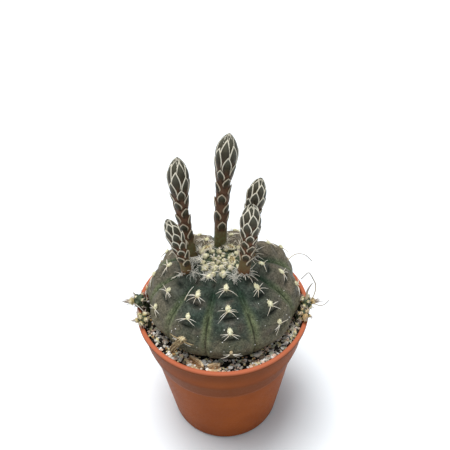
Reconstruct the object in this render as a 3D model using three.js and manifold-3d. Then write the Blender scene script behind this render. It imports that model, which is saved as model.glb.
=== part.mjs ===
// A small ribbed globe cactus with five scaly flower buds, in a plastic pot.
// Millimetres, +Z up. The origin is the middle of the pot's base, on the surface it stands on,
// and -Y is the front. Angles are in degrees, counted from +X towards +Y.
import * as THREE from "three";
import { ParametricGeometry } from "three/addons/geometries/ParametricGeometry.js";
import { mergeVertices } from "three/addons/utils/BufferGeometryUtils.js";
import Module from "manifold-3d";

const wasm = await Module();
wasm.setup();

// Driving sizes of the pot. The "below" sizes are depths under the top of the rim.
const POT = { height: 49.5, wall: 1.1, floor: 1.6, sides: 56 };
const RIM = { radius: 27.5, thickness: 1.3, widestBelow: 0.9, endBelow: 1.4, round: 0.2 };
const COLLAR_END = { radius: 25.8, below: 9.7 };
const STEP_END = { radius: 23.5, below: 17.5 };
const BASE = { radius: 18.9, chamfer: 0.6 };
const DRAIN = { count: 6, radius: 1.9, ring: 13, grooveWidth: 2.6, grooveDepth: 0.7 };

// Driving sizes of the plant. The body is a turned form: an elliptic arc above its equator, a
// flatter one below it down to the underside angle, and a tapered root.
const BODY = { x: 0.3, y: 0.5, radius: 23.5, rise: 14.6, drop: 13, equatorAboveRim: 4.2 };
const UNDERSIDE_ANGLE = 55;
const ROOT = { radius: 5, topBelowRim: 11, tipBelowRim: 24 };
const GROOVE = { start: 5, full: 11, depth: 2.0, lowDepth: 0.9, lowFrom: 28, fadeFrom: 30, end: 37 };
const TUBERCLE = { height: 0.75, reach: 1.8, crease: 0.4, creaseReach: 0.8, aboveAreole: 0.3 };
const AREOLE = { lowestAboveRim: 4.0, width: 0.95, length: 1.15, height: 0.6 };
const SPINE = { radius: 0.17, length: 4.2, lift: 8, turns: [-102, -62, -22, 24, 64, 104] };
const LOW_SPINES = { aboveRim: 9, turns: [-100, -68, 68, 100] };
const CROWN = {
  radius: 6.3, height: 2.3, dip: 1.0, dipRadius: 5, sides: 16,
  pads: 14, padSpread: 0.86, padSink: 0.45, padHeight: 0.95,
};

// Each rib: the azimuth of the groove before it, where its first areole lies and how far apart they
// are (both down the skin from the apex), and how far the rib swells beyond the plain form.
const RIBS = [
  { groove: -104, first: 11.2, pitch: 6.1, swell: 0 },
  { groove: -67, first: 14.2, pitch: 5.8, swell: 0 },
  { groove: -25, first: 11.8, pitch: 6.5, swell: 0 },
  { groove: 12, first: 17.0, pitch: 6.3, swell: 1.1 },
  { groove: 53, first: 12.2, pitch: 6.2, swell: 0.3 },
  { groove: 99, first: 10.9, pitch: 6.3, swell: 0 },
  { groove: 133, first: 16.8, pitch: 6.2, swell: 0 },
  { groove: 161, first: 16.6, pitch: 6.4, swell: 0 },
  { groove: 191.5, first: 18.6, pitch: 6.3, swell: 0 },
  { groove: 223.5, first: 7.8, pitch: 6.6, swell: 0 },
];

// Each bud: where it stands on the body (distance down the skin from the apex), where its tip is,
// how far its middle bows to +X, and the bare radii of its stem and its head.
const BUDS = [
  { name: "back_tall", azimuth: 94.5, down: 7.3, tip: [3.1, 8.4, 106.8], bow: -0.6, stem: 1.95, head: 3.3 },
  { name: "left_tall", azimuth: 157, down: 10.6, tip: [-11.1, 5, 101.8], bow: -0.9, stem: 1.85, head: 3.2 },
  { name: "left_short", azimuth: 197, down: 11.6, tip: [-14.6, -4.6, 88.3], bow: 0.1, stem: 1.6, head: 2.55 },
  { name: "right_front", azimuth: -39.5, down: 7.9, tip: [8.4, -6.6, 94.4], bow: 0.4, stem: 1.75, head: 3.0 },
  { name: "right_back", azimuth: 22, down: 8.9, tip: [11.5, 3.2, 95.8], bow: -0.9, stem: 1.75, head: 2.9 },
];
// The head is widest at one distance below its tip, and has narrowed to the stem at another.
const HEAD = { widest: 7.5, end: 18, point: 0.75 };
// Scales stand in five columns above a bare foot, and the columns turn a little round the bud from
// row to row. Each scale starts inside the one below it, and stands off the tube towards its tip.
const SCALES = {
  columns: 5, rows: 6, headroom: 0.75, bareFoot: 2.0, crowding: 0.85, turnPerRow: -4,
  stand: 0.8, valley: 0.45, droop: 0.35,
};
// A scale's outline up its middle: how far up its row, and its share of the full stand.
const SCALE_STEPS = [[0, 0], [0.5, 0.65], [0.88, 1]];
// How far a bud's foot reaches into the body, before it is cut clear of the skin.
const BUD_FOOT = 1.2;
// Spines that spread from under each bud.
const SEAT = { turns: [-80, -42, -5, 36, 76], clear: 0.75, sink: 0.6, reach: 3.2, rise: 1.5 };

// Small offsets between the body and the rim, and the long hair spines of the right one.
const OFFSETS = [
  { name: "offset_left", azimuth: 179, out: 27.0, aboveRim: 3.0, radius: 2.2, hairs: [] },
  { name: "offset_left_front", azimuth: 195, out: 26.3, aboveRim: 2.3, radius: 1.7, hairs: [] },
  {
    name: "offset_right", azimuth: -4, out: 26.9, aboveRim: 3.1, radius: 2.0,
    hairs: [
      [[28.4, -3.4, 51.9], [30.4, -4, 51.4], [32, -4, 52], [33.1, -4, 53.8]],
      [[25.6, -1, 57.6], [25.9, -1, 61], [26.9, -1, 62.4], [28.3, -1, 59.8], [28.8, -1.4, 56.2]],
    ],
  },
  { name: "offset_right_front", azimuth: -16, out: 26.2, aboveRim: 2.1, radius: 1.5, hairs: [] },
];
const OFFSET = { areole: 0.22, spineLength: 3.2, lowestAreole: -0.6 };
const STALK = { radius: 0.75, ring: 24.3, depth: 2.4, sides: 6 };
const HAIR_RADIUS = 0.16;
// One long hair spine of the body, on its right side at the back.
const BODY_HAIR = [[20.6, 8.6, 58.4], [22.8, 9, 60.9], [24.6, 9, 61.7], [26.9, 9, 61], [29.2, 9, 58.3]];

// Things in the pot
const SOIL = { belowRim: 3.0, sides: 40, coneDepth: 2.2 };
const GRIT = { count: 50, small: 1.0, large: 1.75, innerRing: 21.2, outerRing: 25.2, low: -0.1, high: 0.55 };
const DRIED_FLOWER = {
  radius: 0.85, rows: 6, sides: 7,
  route: [[-12.5, -21.1, 56.6], [-13.6, -20.7, 54.7], [-14.8, -19.6, 52], [-15.5, -18.7, 49.8]],
};
const BARK = [
  { name: "bark_chip_left", azimuth: -110, out: 23.0, size: [2.4, 1.5, 0.35], turn: -32, tip: 20 },
  { name: "bark_chip_right", azimuth: -96, out: 23.4, size: [1.9, 1.1, 0.35], turn: 10, tip: 12 },
];
const BARK_ABOVE_SOIL = 0.75;

const GAP = 0.3;
const GOLDEN_ANGLE = 137.508;
const GOLDEN_SHARE = 0.618;
const RIM_Z = POT.height;
const EQUATOR_Z = RIM_Z + BODY.equatorAboveRim;
const SOIL_Z = RIM_Z - SOIL.belowRim;
const Z_AXIS = new THREE.Vector3(0, 0, 1);

const rad = THREE.MathUtils.degToRad;
const { clamp, euclideanModulo, lerp, smoothstep } = THREE.MathUtils;
const material = (name, color, roughness) =>
  new THREE.MeshStandardMaterial({ name, color, roughness, metalness: 0 });
const terracotta = material("terracotta_plastic", "#b0552f", 0.5);
const pottingSoil = material("potting_soil", "#4a443c", 0.95);
const skinGreen = material("cactus_skin", "#45503f", 0.6);
const wool = material("wool", "#e3dcb4", 0.9);
const budScale = material("bud_scale", "#4d4a3c", 0.55);
const driedPlant = material("dried_plant", "#9a7444", 0.85);

// Numbers from 0 to 1 that are the same each time for the same seed.
function seeded(seed) {
  let state = seed;
  return () => {
    state = (state + 0x6d2b79f5) | 0;
    let t = Math.imul(state ^ (state >>> 15), 1 | state);
    t = (t + Math.imul(t ^ (t >>> 7), 61 | t)) ^ t;
    return ((t ^ (t >>> 14)) >>> 0) / 2 ** 32;
  };
}

// A closed geometry as a solid that can be joined and cut.
function solid(geometry) {
  const bare = geometry.index ? geometry.toNonIndexed() : geometry.clone();
  bare.deleteAttribute("normal");
  bare.deleteAttribute("uv");
  const merged = mergeVertices(bare, 1e-4);
  const vertProperties = new Float32Array(merged.attributes.position.array);
  const triVerts = new Uint32Array(merged.index.array);
  return new wasm.Manifold(new wasm.Mesh({ numProp: 3, vertProperties, triVerts }));
}

const join = (solids) => wasm.Manifold.union(solids);

// The largest body of a solid: a join or cut can leave a loose crumb behind.
function mainBody(whole) {
  return whole.decompose().reduce((a, b) => (b.volume() > a.volume() ? b : a));
}

function meshOf(name, whole, finish) {
  const { numProp, vertProperties, triVerts } = mainBody(whole).getMesh();
  const points = new Float32Array((vertProperties.length / numProp) * 3);
  for (let i = 0; i * numProp < vertProperties.length; i++) {
    points.set(vertProperties.subarray(i * numProp, i * numProp + 3), i * 3);
  }
  const geometry = new THREE.BufferGeometry();
  geometry.setAttribute("position", new THREE.BufferAttribute(points, 3));
  geometry.setIndex(new THREE.BufferAttribute(new Uint32Array(triVerts), 1));
  geometry.computeVertexNormals();
  const mesh = new THREE.Mesh(geometry, finish);
  mesh.name = name;
  return mesh;
}

const atAzimuth = (azimuth, radius, z) =>
  new THREE.Vector3(radius * Math.cos(rad(azimuth)), radius * Math.sin(rad(azimuth)), z);

const curveThrough = (points) => new THREE.CatmullRomCurve3(points.map((p) => new THREE.Vector3(...p)));

// A turned shape about Z from [radius, height] pairs that run upwards.
function turned(pairs, sides) {
  const outline = pairs.map(([radius, z]) => new THREE.Vector2(radius, z));
  return new THREE.LatheGeometry(outline, sides).rotateX(Math.PI / 2);
}

// Places a geometry modelled at the origin so that its +Z is along normal and its +Y along up.
function placed(geometry, point, normal, up) {
  const z = normal.clone().normalize();
  const x = new THREE.Vector3().crossVectors(up, z).normalize();
  const y = new THREE.Vector3().crossVectors(z, x);
  return geometry.applyMatrix4(new THREE.Matrix4().makeBasis(x, y, z).setPosition(point));
}

// A three-sided needle from root to tip.
function needle(root, tip) {
  const along = new THREE.Vector3().subVectors(tip, root);
  const length = along.length();
  const shape = new THREE.ConeGeometry(SPINE.radius, length, 3).translate(0, length / 2, 0);
  const turn = new THREE.Quaternion().setFromUnitVectors(new THREE.Vector3(0, 1, 0), along.normalize());
  return solid(shape.applyQuaternion(turn).translate(root.x, root.y, root.z));
}

// A stalk or hair that follows a curve through its points, with few sides.
function cord(points, radius, sides) {
  const corners = Array.from({ length: sides }, (_, i) => atAzimuth((i / sides) * 360, radius, 0));
  const section = new THREE.Shape(corners.map(({ x, y }) => new THREE.Vector2(x, y)));
  const steps = 3 * (points.length - 1);
  const extrudePath = curveThrough(points);
  return solid(new THREE.ExtrudeGeometry(section, { steps, extrudePath, bevelEnabled: false }));
}

const hair = (points) => cord(points, HAIR_RADIUS, 3);

// The pot

function wallRadius(below) {
  const share = (below - STEP_END.below) / (POT.height - STEP_END.below);
  return lerp(STEP_END.radius, BASE.radius, share);
}

// The pot's inner wall below the rim, from the top down, moved in by a distance.
function innerWall(inset) {
  return [
    [COLLAR_END.radius - inset, POT.height - COLLAR_END.below],
    [STEP_END.radius - inset, POT.height - STEP_END.below],
    [wallRadius(POT.height - POT.floor) - inset, POT.floor],
  ];
}

const RIM_INNER_RADIUS = RIM.radius - RIM.thickness - RIM.round;

function makePot() {
  const top = POT.height;
  const outline = [
    [0, 0],
    [BASE.radius - BASE.chamfer, 0],
    [BASE.radius, BASE.chamfer],
    [STEP_END.radius, top - STEP_END.below],
    [COLLAR_END.radius, top - COLLAR_END.below],
    [RIM.radius - 1.5 * RIM.round, top - RIM.endBelow],
    [RIM.radius, top - RIM.widestBelow],
    [RIM.radius - RIM.round, top],
    [RIM.radius - RIM.thickness, top],
    [RIM_INNER_RADIUS, top - RIM.endBelow],
    ...innerWall(POT.wall),
    [0, POT.floor],
  ];
  let pot = solid(turned(outline, POT.sides));
  for (let i = 0; i < DRAIN.count; i++) {
    const azimuth = (i + 0.5) * (360 / DRAIN.count);
    const middle = atAzimuth(azimuth, DRAIN.ring, 0);
    const hole = new THREE.CylinderGeometry(DRAIN.radius, DRAIN.radius, 3 * POT.floor, 12)
      .rotateX(Math.PI / 2)
      .translate(middle.x, middle.y, 0);
    const groove = new THREE.BoxGeometry(BASE.radius, DRAIN.grooveWidth, 2 * DRAIN.grooveDepth)
      .translate(DRAIN.ring + BASE.radius / 2 - DRAIN.radius, 0, 0)
      .rotateZ(rad(azimuth));
    pot = pot.subtract(solid(hole)).subtract(solid(groove));
  }
  return meshOf("pot", pot, terracotta);
}

// The body of the plant. A place on it is an azimuth and a distance from the apex down the skin.

const profile = new THREE.Path()
  .absellipse(0, EQUATOR_Z, BODY.radius, BODY.rise, Math.PI / 2, 0, true)
  .absellipse(0, EQUATOR_Z, BODY.radius, BODY.drop, 0, -rad(UNDERSIDE_ANGLE), true)
  .lineTo(ROOT.radius, RIM_Z - ROOT.topBelowRim)
  .lineTo(0, RIM_Z - ROOT.tipBelowRim);
const PROFILE_LENGTH = profile.getLength();

const grooveAzimuth = (i) => RIBS[i % RIBS.length].groove + 360 * Math.floor(i / RIBS.length);
const crestAzimuth = (i) => (grooveAzimuth(i) + grooveAzimuth(i + 1)) / 2;

// The rib at an azimuth, and how far across it that is, from 0 at one groove to 1 at the next.
function ribAt(azimuth) {
  const turned = grooveAzimuth(0) + euclideanModulo(azimuth - grooveAzimuth(0), 360);
  const index = RIBS.findLastIndex((rib) => rib.groove <= turned);
  const from = grooveAzimuth(index);
  return { rib: RIBS[index], across: (turned - from) / (grooveAzimuth(index + 1) - from) };
}

// How far the skin stands off the plain turned form: grooves, tubercles and the creases between.
function relief(azimuth, down) {
  const { rib, across } = ribAt(azimuth);
  const fadeIn = smoothstep(down, GROOVE.start, GROOVE.full);
  const fadeOut = 1 - smoothstep(down, GROOVE.fadeFrom, GROOVE.end);
  const low = smoothstep(down, GROOVE.full, GROOVE.lowFrom);
  const arch = Math.max(0, Math.sin(Math.PI * across));
  const groove = lerp(GROOVE.depth, GROOVE.lowDepth, low) * (1 - arch ** lerp(0.75, 0.3, low));
  const step = (down - rib.first + TUBERCLE.aboveAreole) / rib.pitch;
  const offset = (step - Math.round(step)) * rib.pitch;
  const between = rib.pitch / 2 - Math.abs(offset);
  const bump = TUBERCLE.height * Math.exp(-((offset / TUBERCLE.reach) ** 2)) * arch ** 1.5;
  const crease = TUBERCLE.crease * Math.exp(-((between / TUBERCLE.creaseReach) ** 2)) * arch ** 3;
  return fadeIn * fadeOut * (bump + rib.swell * arch - crease - groove);
}

function skinPoint(azimuth, down, lift = 0) {
  const share = clamp(down / PROFILE_LENGTH, 0, 1);
  const at = profile.getPointAt(share);
  const along = profile.getTangentAt(share);
  const dip = CROWN.dip * Math.exp(-((at.x / CROWN.dipRadius) ** 2));
  const middle = new THREE.Vector3(BODY.x, BODY.y, at.y - dip);
  if (share === 0) return middle.addScaledVector(Z_AXIS, lift);
  if (share === 1) return middle.addScaledVector(Z_AXIS, -lift);
  const off = relief(azimuth, down) + lift;
  const radius = Math.max(0.01, at.x - along.y * off);
  return middle.add(atAzimuth(azimuth, radius, along.x * off));
}

function skinFrame(azimuth, down) {
  const point = skinPoint(azimuth, down);
  const lower = skinPoint(azimuth, down + 0.5);
  const beside = skinPoint(azimuth + 1.5, down);
  const downhill = lower.sub(point).normalize();
  const normal = new THREE.Vector3().crossVectors(downhill, beside.sub(point)).normalize();
  return { point, downhill, normal };
}

// The rows and columns of the body's mesh, close together where the skin shows and near a groove.
const CROWN_ROWS = [0, 2.6, 5.2];
const SKIN_ROWS = Array.from({ length: 20 }, (_, i) => CROWN_ROWS.at(-1) + 1.62 * (i + 1));
const ROOT_ROWS = [0.25, 0.55, 1].map((share) => lerp(GROOVE.end, PROFILE_LENGTH, share));
const BODY_ROWS = [...CROWN_ROWS, ...SKIN_ROWS, ...ROOT_ROWS];
const RIB_COLUMNS = [0, 0.07, 0.2, 0.38, 0.5, 0.62, 0.8, 0.93];

// The skin as a closed solid, lifted by a distance from the real one.
function bodySkin(lift = 0) {
  const columns = RIBS.length * RIB_COLUMNS.length;
  const rows = BODY_ROWS.length - 1;
  const surface = (u, v, target) => {
    const column = Math.round((1 - u) * columns) % columns;
    const rib = Math.floor(column / RIB_COLUMNS.length);
    const across = RIB_COLUMNS[column % RIB_COLUMNS.length];
    const azimuth = lerp(grooveAzimuth(rib), grooveAzimuth(rib + 1), across);
    target.copy(skinPoint(azimuth, BODY_ROWS[Math.round(v * rows)], lift));
  };
  return solid(new ParametricGeometry(surface, columns, rows));
}

// A woolly pad with its needles. Each needle is an angle round the pad from downhill, and a length.
function areole({ point, normal, downhill }, needles, size) {
  const pad = new THREE.OctahedronGeometry(size, 0).scale(AREOLE.width, AREOLE.length, AREOLE.height);
  const solids = [solid(placed(pad, point, normal, downhill))];
  for (const [turn, length] of needles) {
    const flat = downhill.clone().applyAxisAngle(normal, rad(turn));
    const root = point.clone().addScaledVector(flat, 0.25 * size).addScaledVector(normal, 0.08);
    const tip = point.clone()
      .addScaledVector(flat, length * Math.cos(rad(SPINE.lift)))
      .addScaledVector(normal, length * Math.sin(rad(SPINE.lift)));
    solids.push(needle(root, tip));
  }
  return solids;
}

function bodyAreoles() {
  const random = seeded(7);
  const solids = [];
  RIBS.forEach((rib, i) => {
    for (let down = rib.first; ; down += rib.pitch) {
      const frame = skinFrame(crestAzimuth(i), down);
      const aboveRim = frame.point.z - RIM_Z;
      if (aboveRim < AREOLE.lowestAboveRim) break;
      const turns = aboveRim < LOW_SPINES.aboveRim ? LOW_SPINES.turns : SPINE.turns;
      const needles = turns.map((turn) =>
        [turn + 14 * (random() - 0.5), SPINE.length * lerp(0.8, 1.1, random())]);
      solids.push(...areole(frame, needles, lerp(0.9, 1.1, random())));
    }
  });
  return solids;
}

function budSeats() {
  return BUDS.flatMap(({ azimuth, down, stem }) => {
    const { point, downhill, normal } = skinFrame(azimuth, down);
    return SEAT.turns.map((turn) => {
      const flat = downhill.clone().applyAxisAngle(normal, rad(turn));
      const root = point.clone().addScaledVector(flat, stem + SEAT.clear).addScaledVector(normal, -SEAT.sink);
      const tip = root.clone().addScaledVector(flat, SEAT.reach).addScaledVector(normal, SEAT.rise);
      return needle(root, tip);
    });
  });
}

function makeBody() {
  let body = join([bodySkin(), ...bodyAreoles(), ...budSeats(), hair(BODY_HAIR)]);
  for (const offset of OFFSETS) body = body.subtract(offsetBody(offset, GAP));
  return meshOf("cactus_body", body, skinGreen);
}

// The woolly young growth that covers the apex, turned by the golden angle from pad to pad.
function makeCrown() {
  const random = seeded(11);
  const apex = skinPoint(0, 0);
  const under = CROWN_ROWS.map((down) => {
    const point = skinPoint(0, down, GAP + 0.1);
    return [point.x - BODY.x, point.z];
  });
  const dome = [0.92, 0.8, 0.55, 0.28, 0].map((share) =>
    [CROWN.radius * share, apex.z + (CROWN.height - GAP) * Math.sqrt(1 - share ** 2)]);
  const solids = [solid(turned([...under, ...dome], CROWN.sides).translate(BODY.x, BODY.y, 0))];
  for (let i = 0; i < CROWN.pads; i++) {
    const share = CROWN.padSpread * Math.sqrt((i + 0.3) / CROWN.pads);
    const height = (CROWN.height - CROWN.padSink) * Math.sqrt(1 - share ** 2);
    const point = apex.clone().add(atAzimuth(i * GOLDEN_ANGLE, CROWN.radius * share, height));
    const outward = atAzimuth(i * GOLDEN_ANGLE, 1, 0);
    const normal = Z_AXIS.clone().addScaledVector(outward, share);
    const size = lerp(0.95, 1.2, random());
    const pad = new THREE.IcosahedronGeometry(1, 0).scale(size, 0.85 * size, CROWN.padHeight);
    solids.push(solid(placed(pad, point, normal, outward)));
    if (i % 2 === 0) continue;
    const tip = point.clone().addScaledVector(outward, 0.9 + share).addScaledVector(Z_AXIS, 2.1 - share);
    solids.push(needle(point, tip));
  }
  let crown = join(solids).subtract(bodySkin(GAP));
  for (const bud of BUDS) crown = crown.subtract(budClearance(bud));
  return meshOf("crown_wool", crown, wool);
}

// The buds

// A bud's middle line, from the skin to its tip.
function budLine({ azimuth, down, tip, bow }) {
  const { point } = skinFrame(azimuth, down);
  const end = new THREE.Vector3(...tip);
  const knee = point.clone().lerp(end, 0.5).add(new THREE.Vector3(2 * bow, 0, 0));
  return new THREE.QuadraticBezierCurve3(point, knee, end);
}

// A bud's bare radius at a distance below its tip: a pointed head that narrows to the stem.
function budRadius({ stem, head }, belowTip) {
  const closing = (1 - (1 - Math.min(1, belowTip / HEAD.widest)) ** 2) ** HEAD.point;
  return lerp(head, stem, smoothstep(belowTip, HEAD.widest, HEAD.end)) * closing;
}

// A closed tube round a bud's middle line. Each ring row gives, for a side, its distance from the
// bud's foot and how far it stands off the bare radius. Even sides are the middles of the scale
// columns, and odd ones the valleys between them.
function budSolid(bud, rows) {
  const line = budLine(bud);
  const length = line.getLength();
  const sides = 2 * SCALES.columns;
  const surface = (u, v, target) => {
    const row = Math.round(v * (rows.length + 1)) - 1;
    if (row < 0) return target.copy(line.getPoint(0)).addScaledVector(line.getTangent(0), -BUD_FOOT);
    if (row === rows.length) return target.copy(line.getPoint(1));
    const side = Math.round(u * sides) % sides;
    const [distance, stand] = rows[row](side, length);
    const share = clamp(distance / length, 0, 1);
    const up = line.getTangentAt(share);
    const turn = (side / sides) * 360 + SCALES.turnPerRow * SCALES.rows * share;
    const outward = new THREE.Vector3(1, 0, 0).addScaledVector(up, -up.x).normalize()
      .applyAxisAngle(up, rad(turn));
    const radius = budRadius(bud, length - distance) + stand;
    const middle = line.getPointAt(share).addScaledVector(up, distance - share * length);
    return target.copy(middle).addScaledVector(outward, radius);
  };
  return solid(new ParametricGeometry(surface, sides, rows.length + 1));
}

// The lower part of a bud with its gap, which the crown is cut clear of.
const budClearance = (bud) => budSolid(bud, [-1, 3, 7].map((distance) => () => [distance, GAP]));

// How far up its row a side starts: neighbouring columns are about half a row apart.
function rowStart(side) {
  const start = (column) => ((3 * (column % SCALES.columns)) % SCALES.columns) / SCALES.columns;
  const column = Math.floor(side / 2);
  return side % 2 ? (start(column) + start(column + 1)) / 2 - SCALES.droop : start(column);
}

// One bud: its scales are small and apart on the tube, and long and overlapping on the head.
function makeBud(bud) {
  const rows = [() => [-1, 0]];
  for (let row = 0; row < SCALES.rows; row++) {
    for (const [part, standShare] of SCALE_STEPS) {
      rows.push((side, length) => {
        const rise = (row + rowStart(side) + part) / (SCALES.rows + SCALES.headroom);
        const up = Math.max(0, rise) ** SCALES.crowding;
        const growth = lerp(0.65, 1, smoothstep(up, 0, 0.5)) * (1 - 0.4 * smoothstep(up, 0.85, 1));
        const off = side % 2 ? -SCALES.valley : standShare - 0.5;
        return [lerp(SCALES.bareFoot, length, up), SCALES.stand * growth * off];
      });
    }
  }
  return meshOf(`bud_${bud.name}`, budSolid(bud, rows).subtract(bodySkin(GAP)), budScale);
}

// The offsets

// The twelve directions in which an offset has its areoles, from a ball's first corners.
function cornerDirections() {
  const position = new THREE.IcosahedronGeometry(1, 0).getAttribute("position");
  const corners = [];
  for (let i = 0; i < position.count; i++) {
    const corner = new THREE.Vector3().fromBufferAttribute(position, i);
    if (!corners.some((other) => other.distanceTo(corner) < 0.01)) corners.push(corner);
  }
  return corners;
}
const CORNERS = cornerDirections();

const offsetCentre = ({ azimuth, out, aboveRim }) => atAzimuth(azimuth, out, RIM_Z + aboveRim);

// An offset's bumpy globe on its stalk, which comes up out of the soil just inside the rim.
function offsetBody(offset, grow = 0) {
  const { azimuth, out, aboveRim, radius } = offset;
  const centre = offsetCentre(offset);
  const globe = new THREE.IcosahedronGeometry(1, 1);
  const position = globe.getAttribute("position");
  for (let i = 0; i < position.count; i++) {
    const vertex = new THREE.Vector3().fromBufferAttribute(position, i);
    const hasAreole = CORNERS.some((corner) => corner.dot(vertex) > 0.99);
    vertex.multiplyScalar(radius * (hasAreole ? 1 + OFFSET.areole : 1) + grow).add(centre);
    position.setXYZ(i, ...vertex.toArray());
  }
  const stalk = [
    atAzimuth(azimuth, STALK.ring, SOIL_Z - STALK.depth - grow),
    atAzimuth(azimuth, STALK.ring, RIM_Z - 0.5),
    atAzimuth(azimuth, lerp(STALK.ring, out, 0.3), RIM_Z + 0.65 * aboveRim),
    centre,
  ];
  return join([solid(globe), cord(stalk.map((p) => p.toArray()), STALK.radius + grow, STALK.sides)]);
}

// Needles spread from the areoles that face outwards, and the hairs from the middle.
function makeOffset(offset, index) {
  const random = seeded(53 + index);
  const centre = offsetCentre(offset);
  const outward = atAzimuth(offset.azimuth, 1, 0.2).normalize();
  const solids = [offsetBody(offset)];
  for (const corner of CORNERS) {
    const facing = corner.dot(outward);
    if (corner.z < OFFSET.lowestAreole || facing < -0.1) continue;
    const root = centre.clone().addScaledVector(corner, offset.radius);
    for (const turn of facing > 0.5 ? [-1, 1] : [1]) {
      const rise = 0.35 * turn * random();
      const drift = corner.clone().addScaledVector(Z_AXIS, rise).addScaledVector(outward, 0.4).normalize();
      const length = OFFSET.spineLength * lerp(0.6, 1, random());
      solids.push(needle(root, root.clone().addScaledVector(drift, length)));
    }
  }
  for (const points of offset.hairs) solids.push(hair([centre.toArray(), ...points]));
  return meshOf(offset.name, join(solids), skinGreen);
}

// The soil and what lies on it

// The radius of the hollow that the body's lower arc sits in, at a height.
function hollowRadius(z) {
  const sine = clamp((z - EQUATOR_Z) / BODY.drop, -Math.sin(rad(UNDERSIDE_ANGLE)), 0);
  return BODY.radius * Math.sqrt(1 - sine ** 2) + 2 * GAP;
}

function gritSolids() {
  const random = seeded(3);
  const solids = [];
  for (let i = 0; i < GRIT.count; i++) {
    const out = lerp(GRIT.innerRing, GRIT.outerRing, ((i * GOLDEN_SHARE) % 1) ** 0.85);
    const size = lerp(GRIT.small, GRIT.large, random() ** 1.5);
    const chip = new THREE.OctahedronGeometry(size, 0)
      .scale(1, lerp(0.6, 0.95, random()), lerp(0.5, 0.8, random()))
      .rotateX(rad(50 * (random() - 0.5)))
      .rotateZ(rad(360 * random()));
    const at = atAzimuth(i * GOLDEN_ANGLE, out, SOIL_Z + lerp(GRIT.low, GRIT.high, random()));
    solids.push(solid(chip.translate(at.x, at.y, at.z)));
  }
  return solids;
}

function makeSoil() {
  const innerWallUp = innerWall(POT.wall + GAP).reverse();
  const rimInner = RIM_INNER_RADIUS - GAP;
  const collarShare = 1 - SOIL.belowRim / COLLAR_END.below;
  const outerRadius = lerp(COLLAR_END.radius, RIM.radius, collarShare) - POT.wall - GAP;
  const underZ = EQUATOR_Z - BODY.drop * Math.sin(rad(UNDERSIDE_ANGLE));
  const coneZ = SOIL_Z - SOIL.coneDepth;
  const plug = turned([
    [0, POT.floor],
    ...innerWallUp,
    [Math.min(outerRadius, rimInner), SOIL_Z],
    [hollowRadius(SOIL_Z), SOIL_Z],
    [hollowRadius(coneZ), coneZ],
    [hollowRadius(underZ), underZ - GAP],
    [ROOT.radius + GAP, RIM_Z - ROOT.topBelowRim - 2 * GAP],
    [0, RIM_Z - ROOT.tipBelowRim - 2 * GAP],
  ], SOIL.sides);
  const insideOfPot = turned([
    [0, POT.floor],
    ...innerWallUp,
    [rimInner, RIM_Z - RIM.endBelow],
    [rimInner, RIM_Z + 3],
    [0, RIM_Z + 3],
  ], SOIL.sides);
  let soil = join([solid(plug), ...gritSolids()]).intersect(solid(insideOfPot)).subtract(bodySkin(GAP));
  for (const offset of OFFSETS) soil = soil.subtract(offsetBody(offset, GAP));
  for (const chip of BARK) soil = soil.subtract(barkShape(chip, GAP));
  soil = soil.subtract(driedFlowerShape(GAP));
  return meshOf("soil", soil, pottingSoil);
}

// A thin curled flake of bark.
function barkShape({ azimuth, out, size, turn, tip }, grow = 0) {
  const [length, width, thickness] = size;
  const flake = new THREE.BoxGeometry(2, 2, 2, 4, 3, 1);
  const position = flake.getAttribute("position");
  for (let i = 0; i < position.count; i++) {
    const x = position.getX(i);
    const y = position.getY(i);
    const narrowing = Math.sqrt(1 - 0.6 * x * x);
    const curl = 0.36 * (1 - y * y) - 0.1 * x * x;
    const z = position.getZ(i) * (thickness + grow) + curl * width;
    position.setXYZ(i, x * (length + grow), y * (width + grow) * narrowing, z);
  }
  const at = atAzimuth(azimuth, out, SOIL_Z + BARK_ABOVE_SOIL);
  return solid(flake.rotateX(rad(tip)).rotateZ(rad(turn)).translate(at.x, at.y, at.z));
}

// The shrivelled flower that hangs from a low areole down to the soil.
function driedFlowerShape(grow = 0) {
  const { route, radius, rows, sides } = DRIED_FLOWER;
  const path = curveThrough(route);
  const surface = (u, v, target) => {
    const row = Math.round(v * (rows + 2)) - 1;
    const share = clamp(row / rows, 0, 1);
    const up = path.getTangent(share);
    const end = row < 0 ? -1 : Number(row > rows);
    if (end) return target.copy(path.getPoint(share)).addScaledVector(up, end * (grow + 0.2));
    const around = rad(360 * (u % 1));
    const side = new THREE.Vector3().crossVectors(Z_AXIS, up).normalize().applyAxisAngle(up, around);
    const wide = 0.72 + 0.28 * Math.cos(Math.PI * share) ** 2 + 0.1 * Math.cos(3 * around + 5 * share);
    return target.copy(path.getPoint(share)).addScaledVector(side, radius * wide + grow);
  };
  return solid(new ParametricGeometry(surface, sides, rows + 2));
}

const plant = new THREE.Group();
plant.add(makePot(), makeSoil(), makeBody(), makeCrown());
for (const bud of BUDS) plant.add(makeBud(bud));
OFFSETS.forEach((offset, i) => plant.add(makeOffset(offset, i)));
plant.add(meshOf("dried_flower", driedFlowerShape(), driedPlant));
for (const chip of BARK) plant.add(meshOf(chip.name, barkShape(chip), driedPlant));

export default plant;
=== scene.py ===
import bisect
import functools
import math
import random

import bpy
from mathutils import Matrix, Quaternion, Vector
from mathutils.noise import noise


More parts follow.
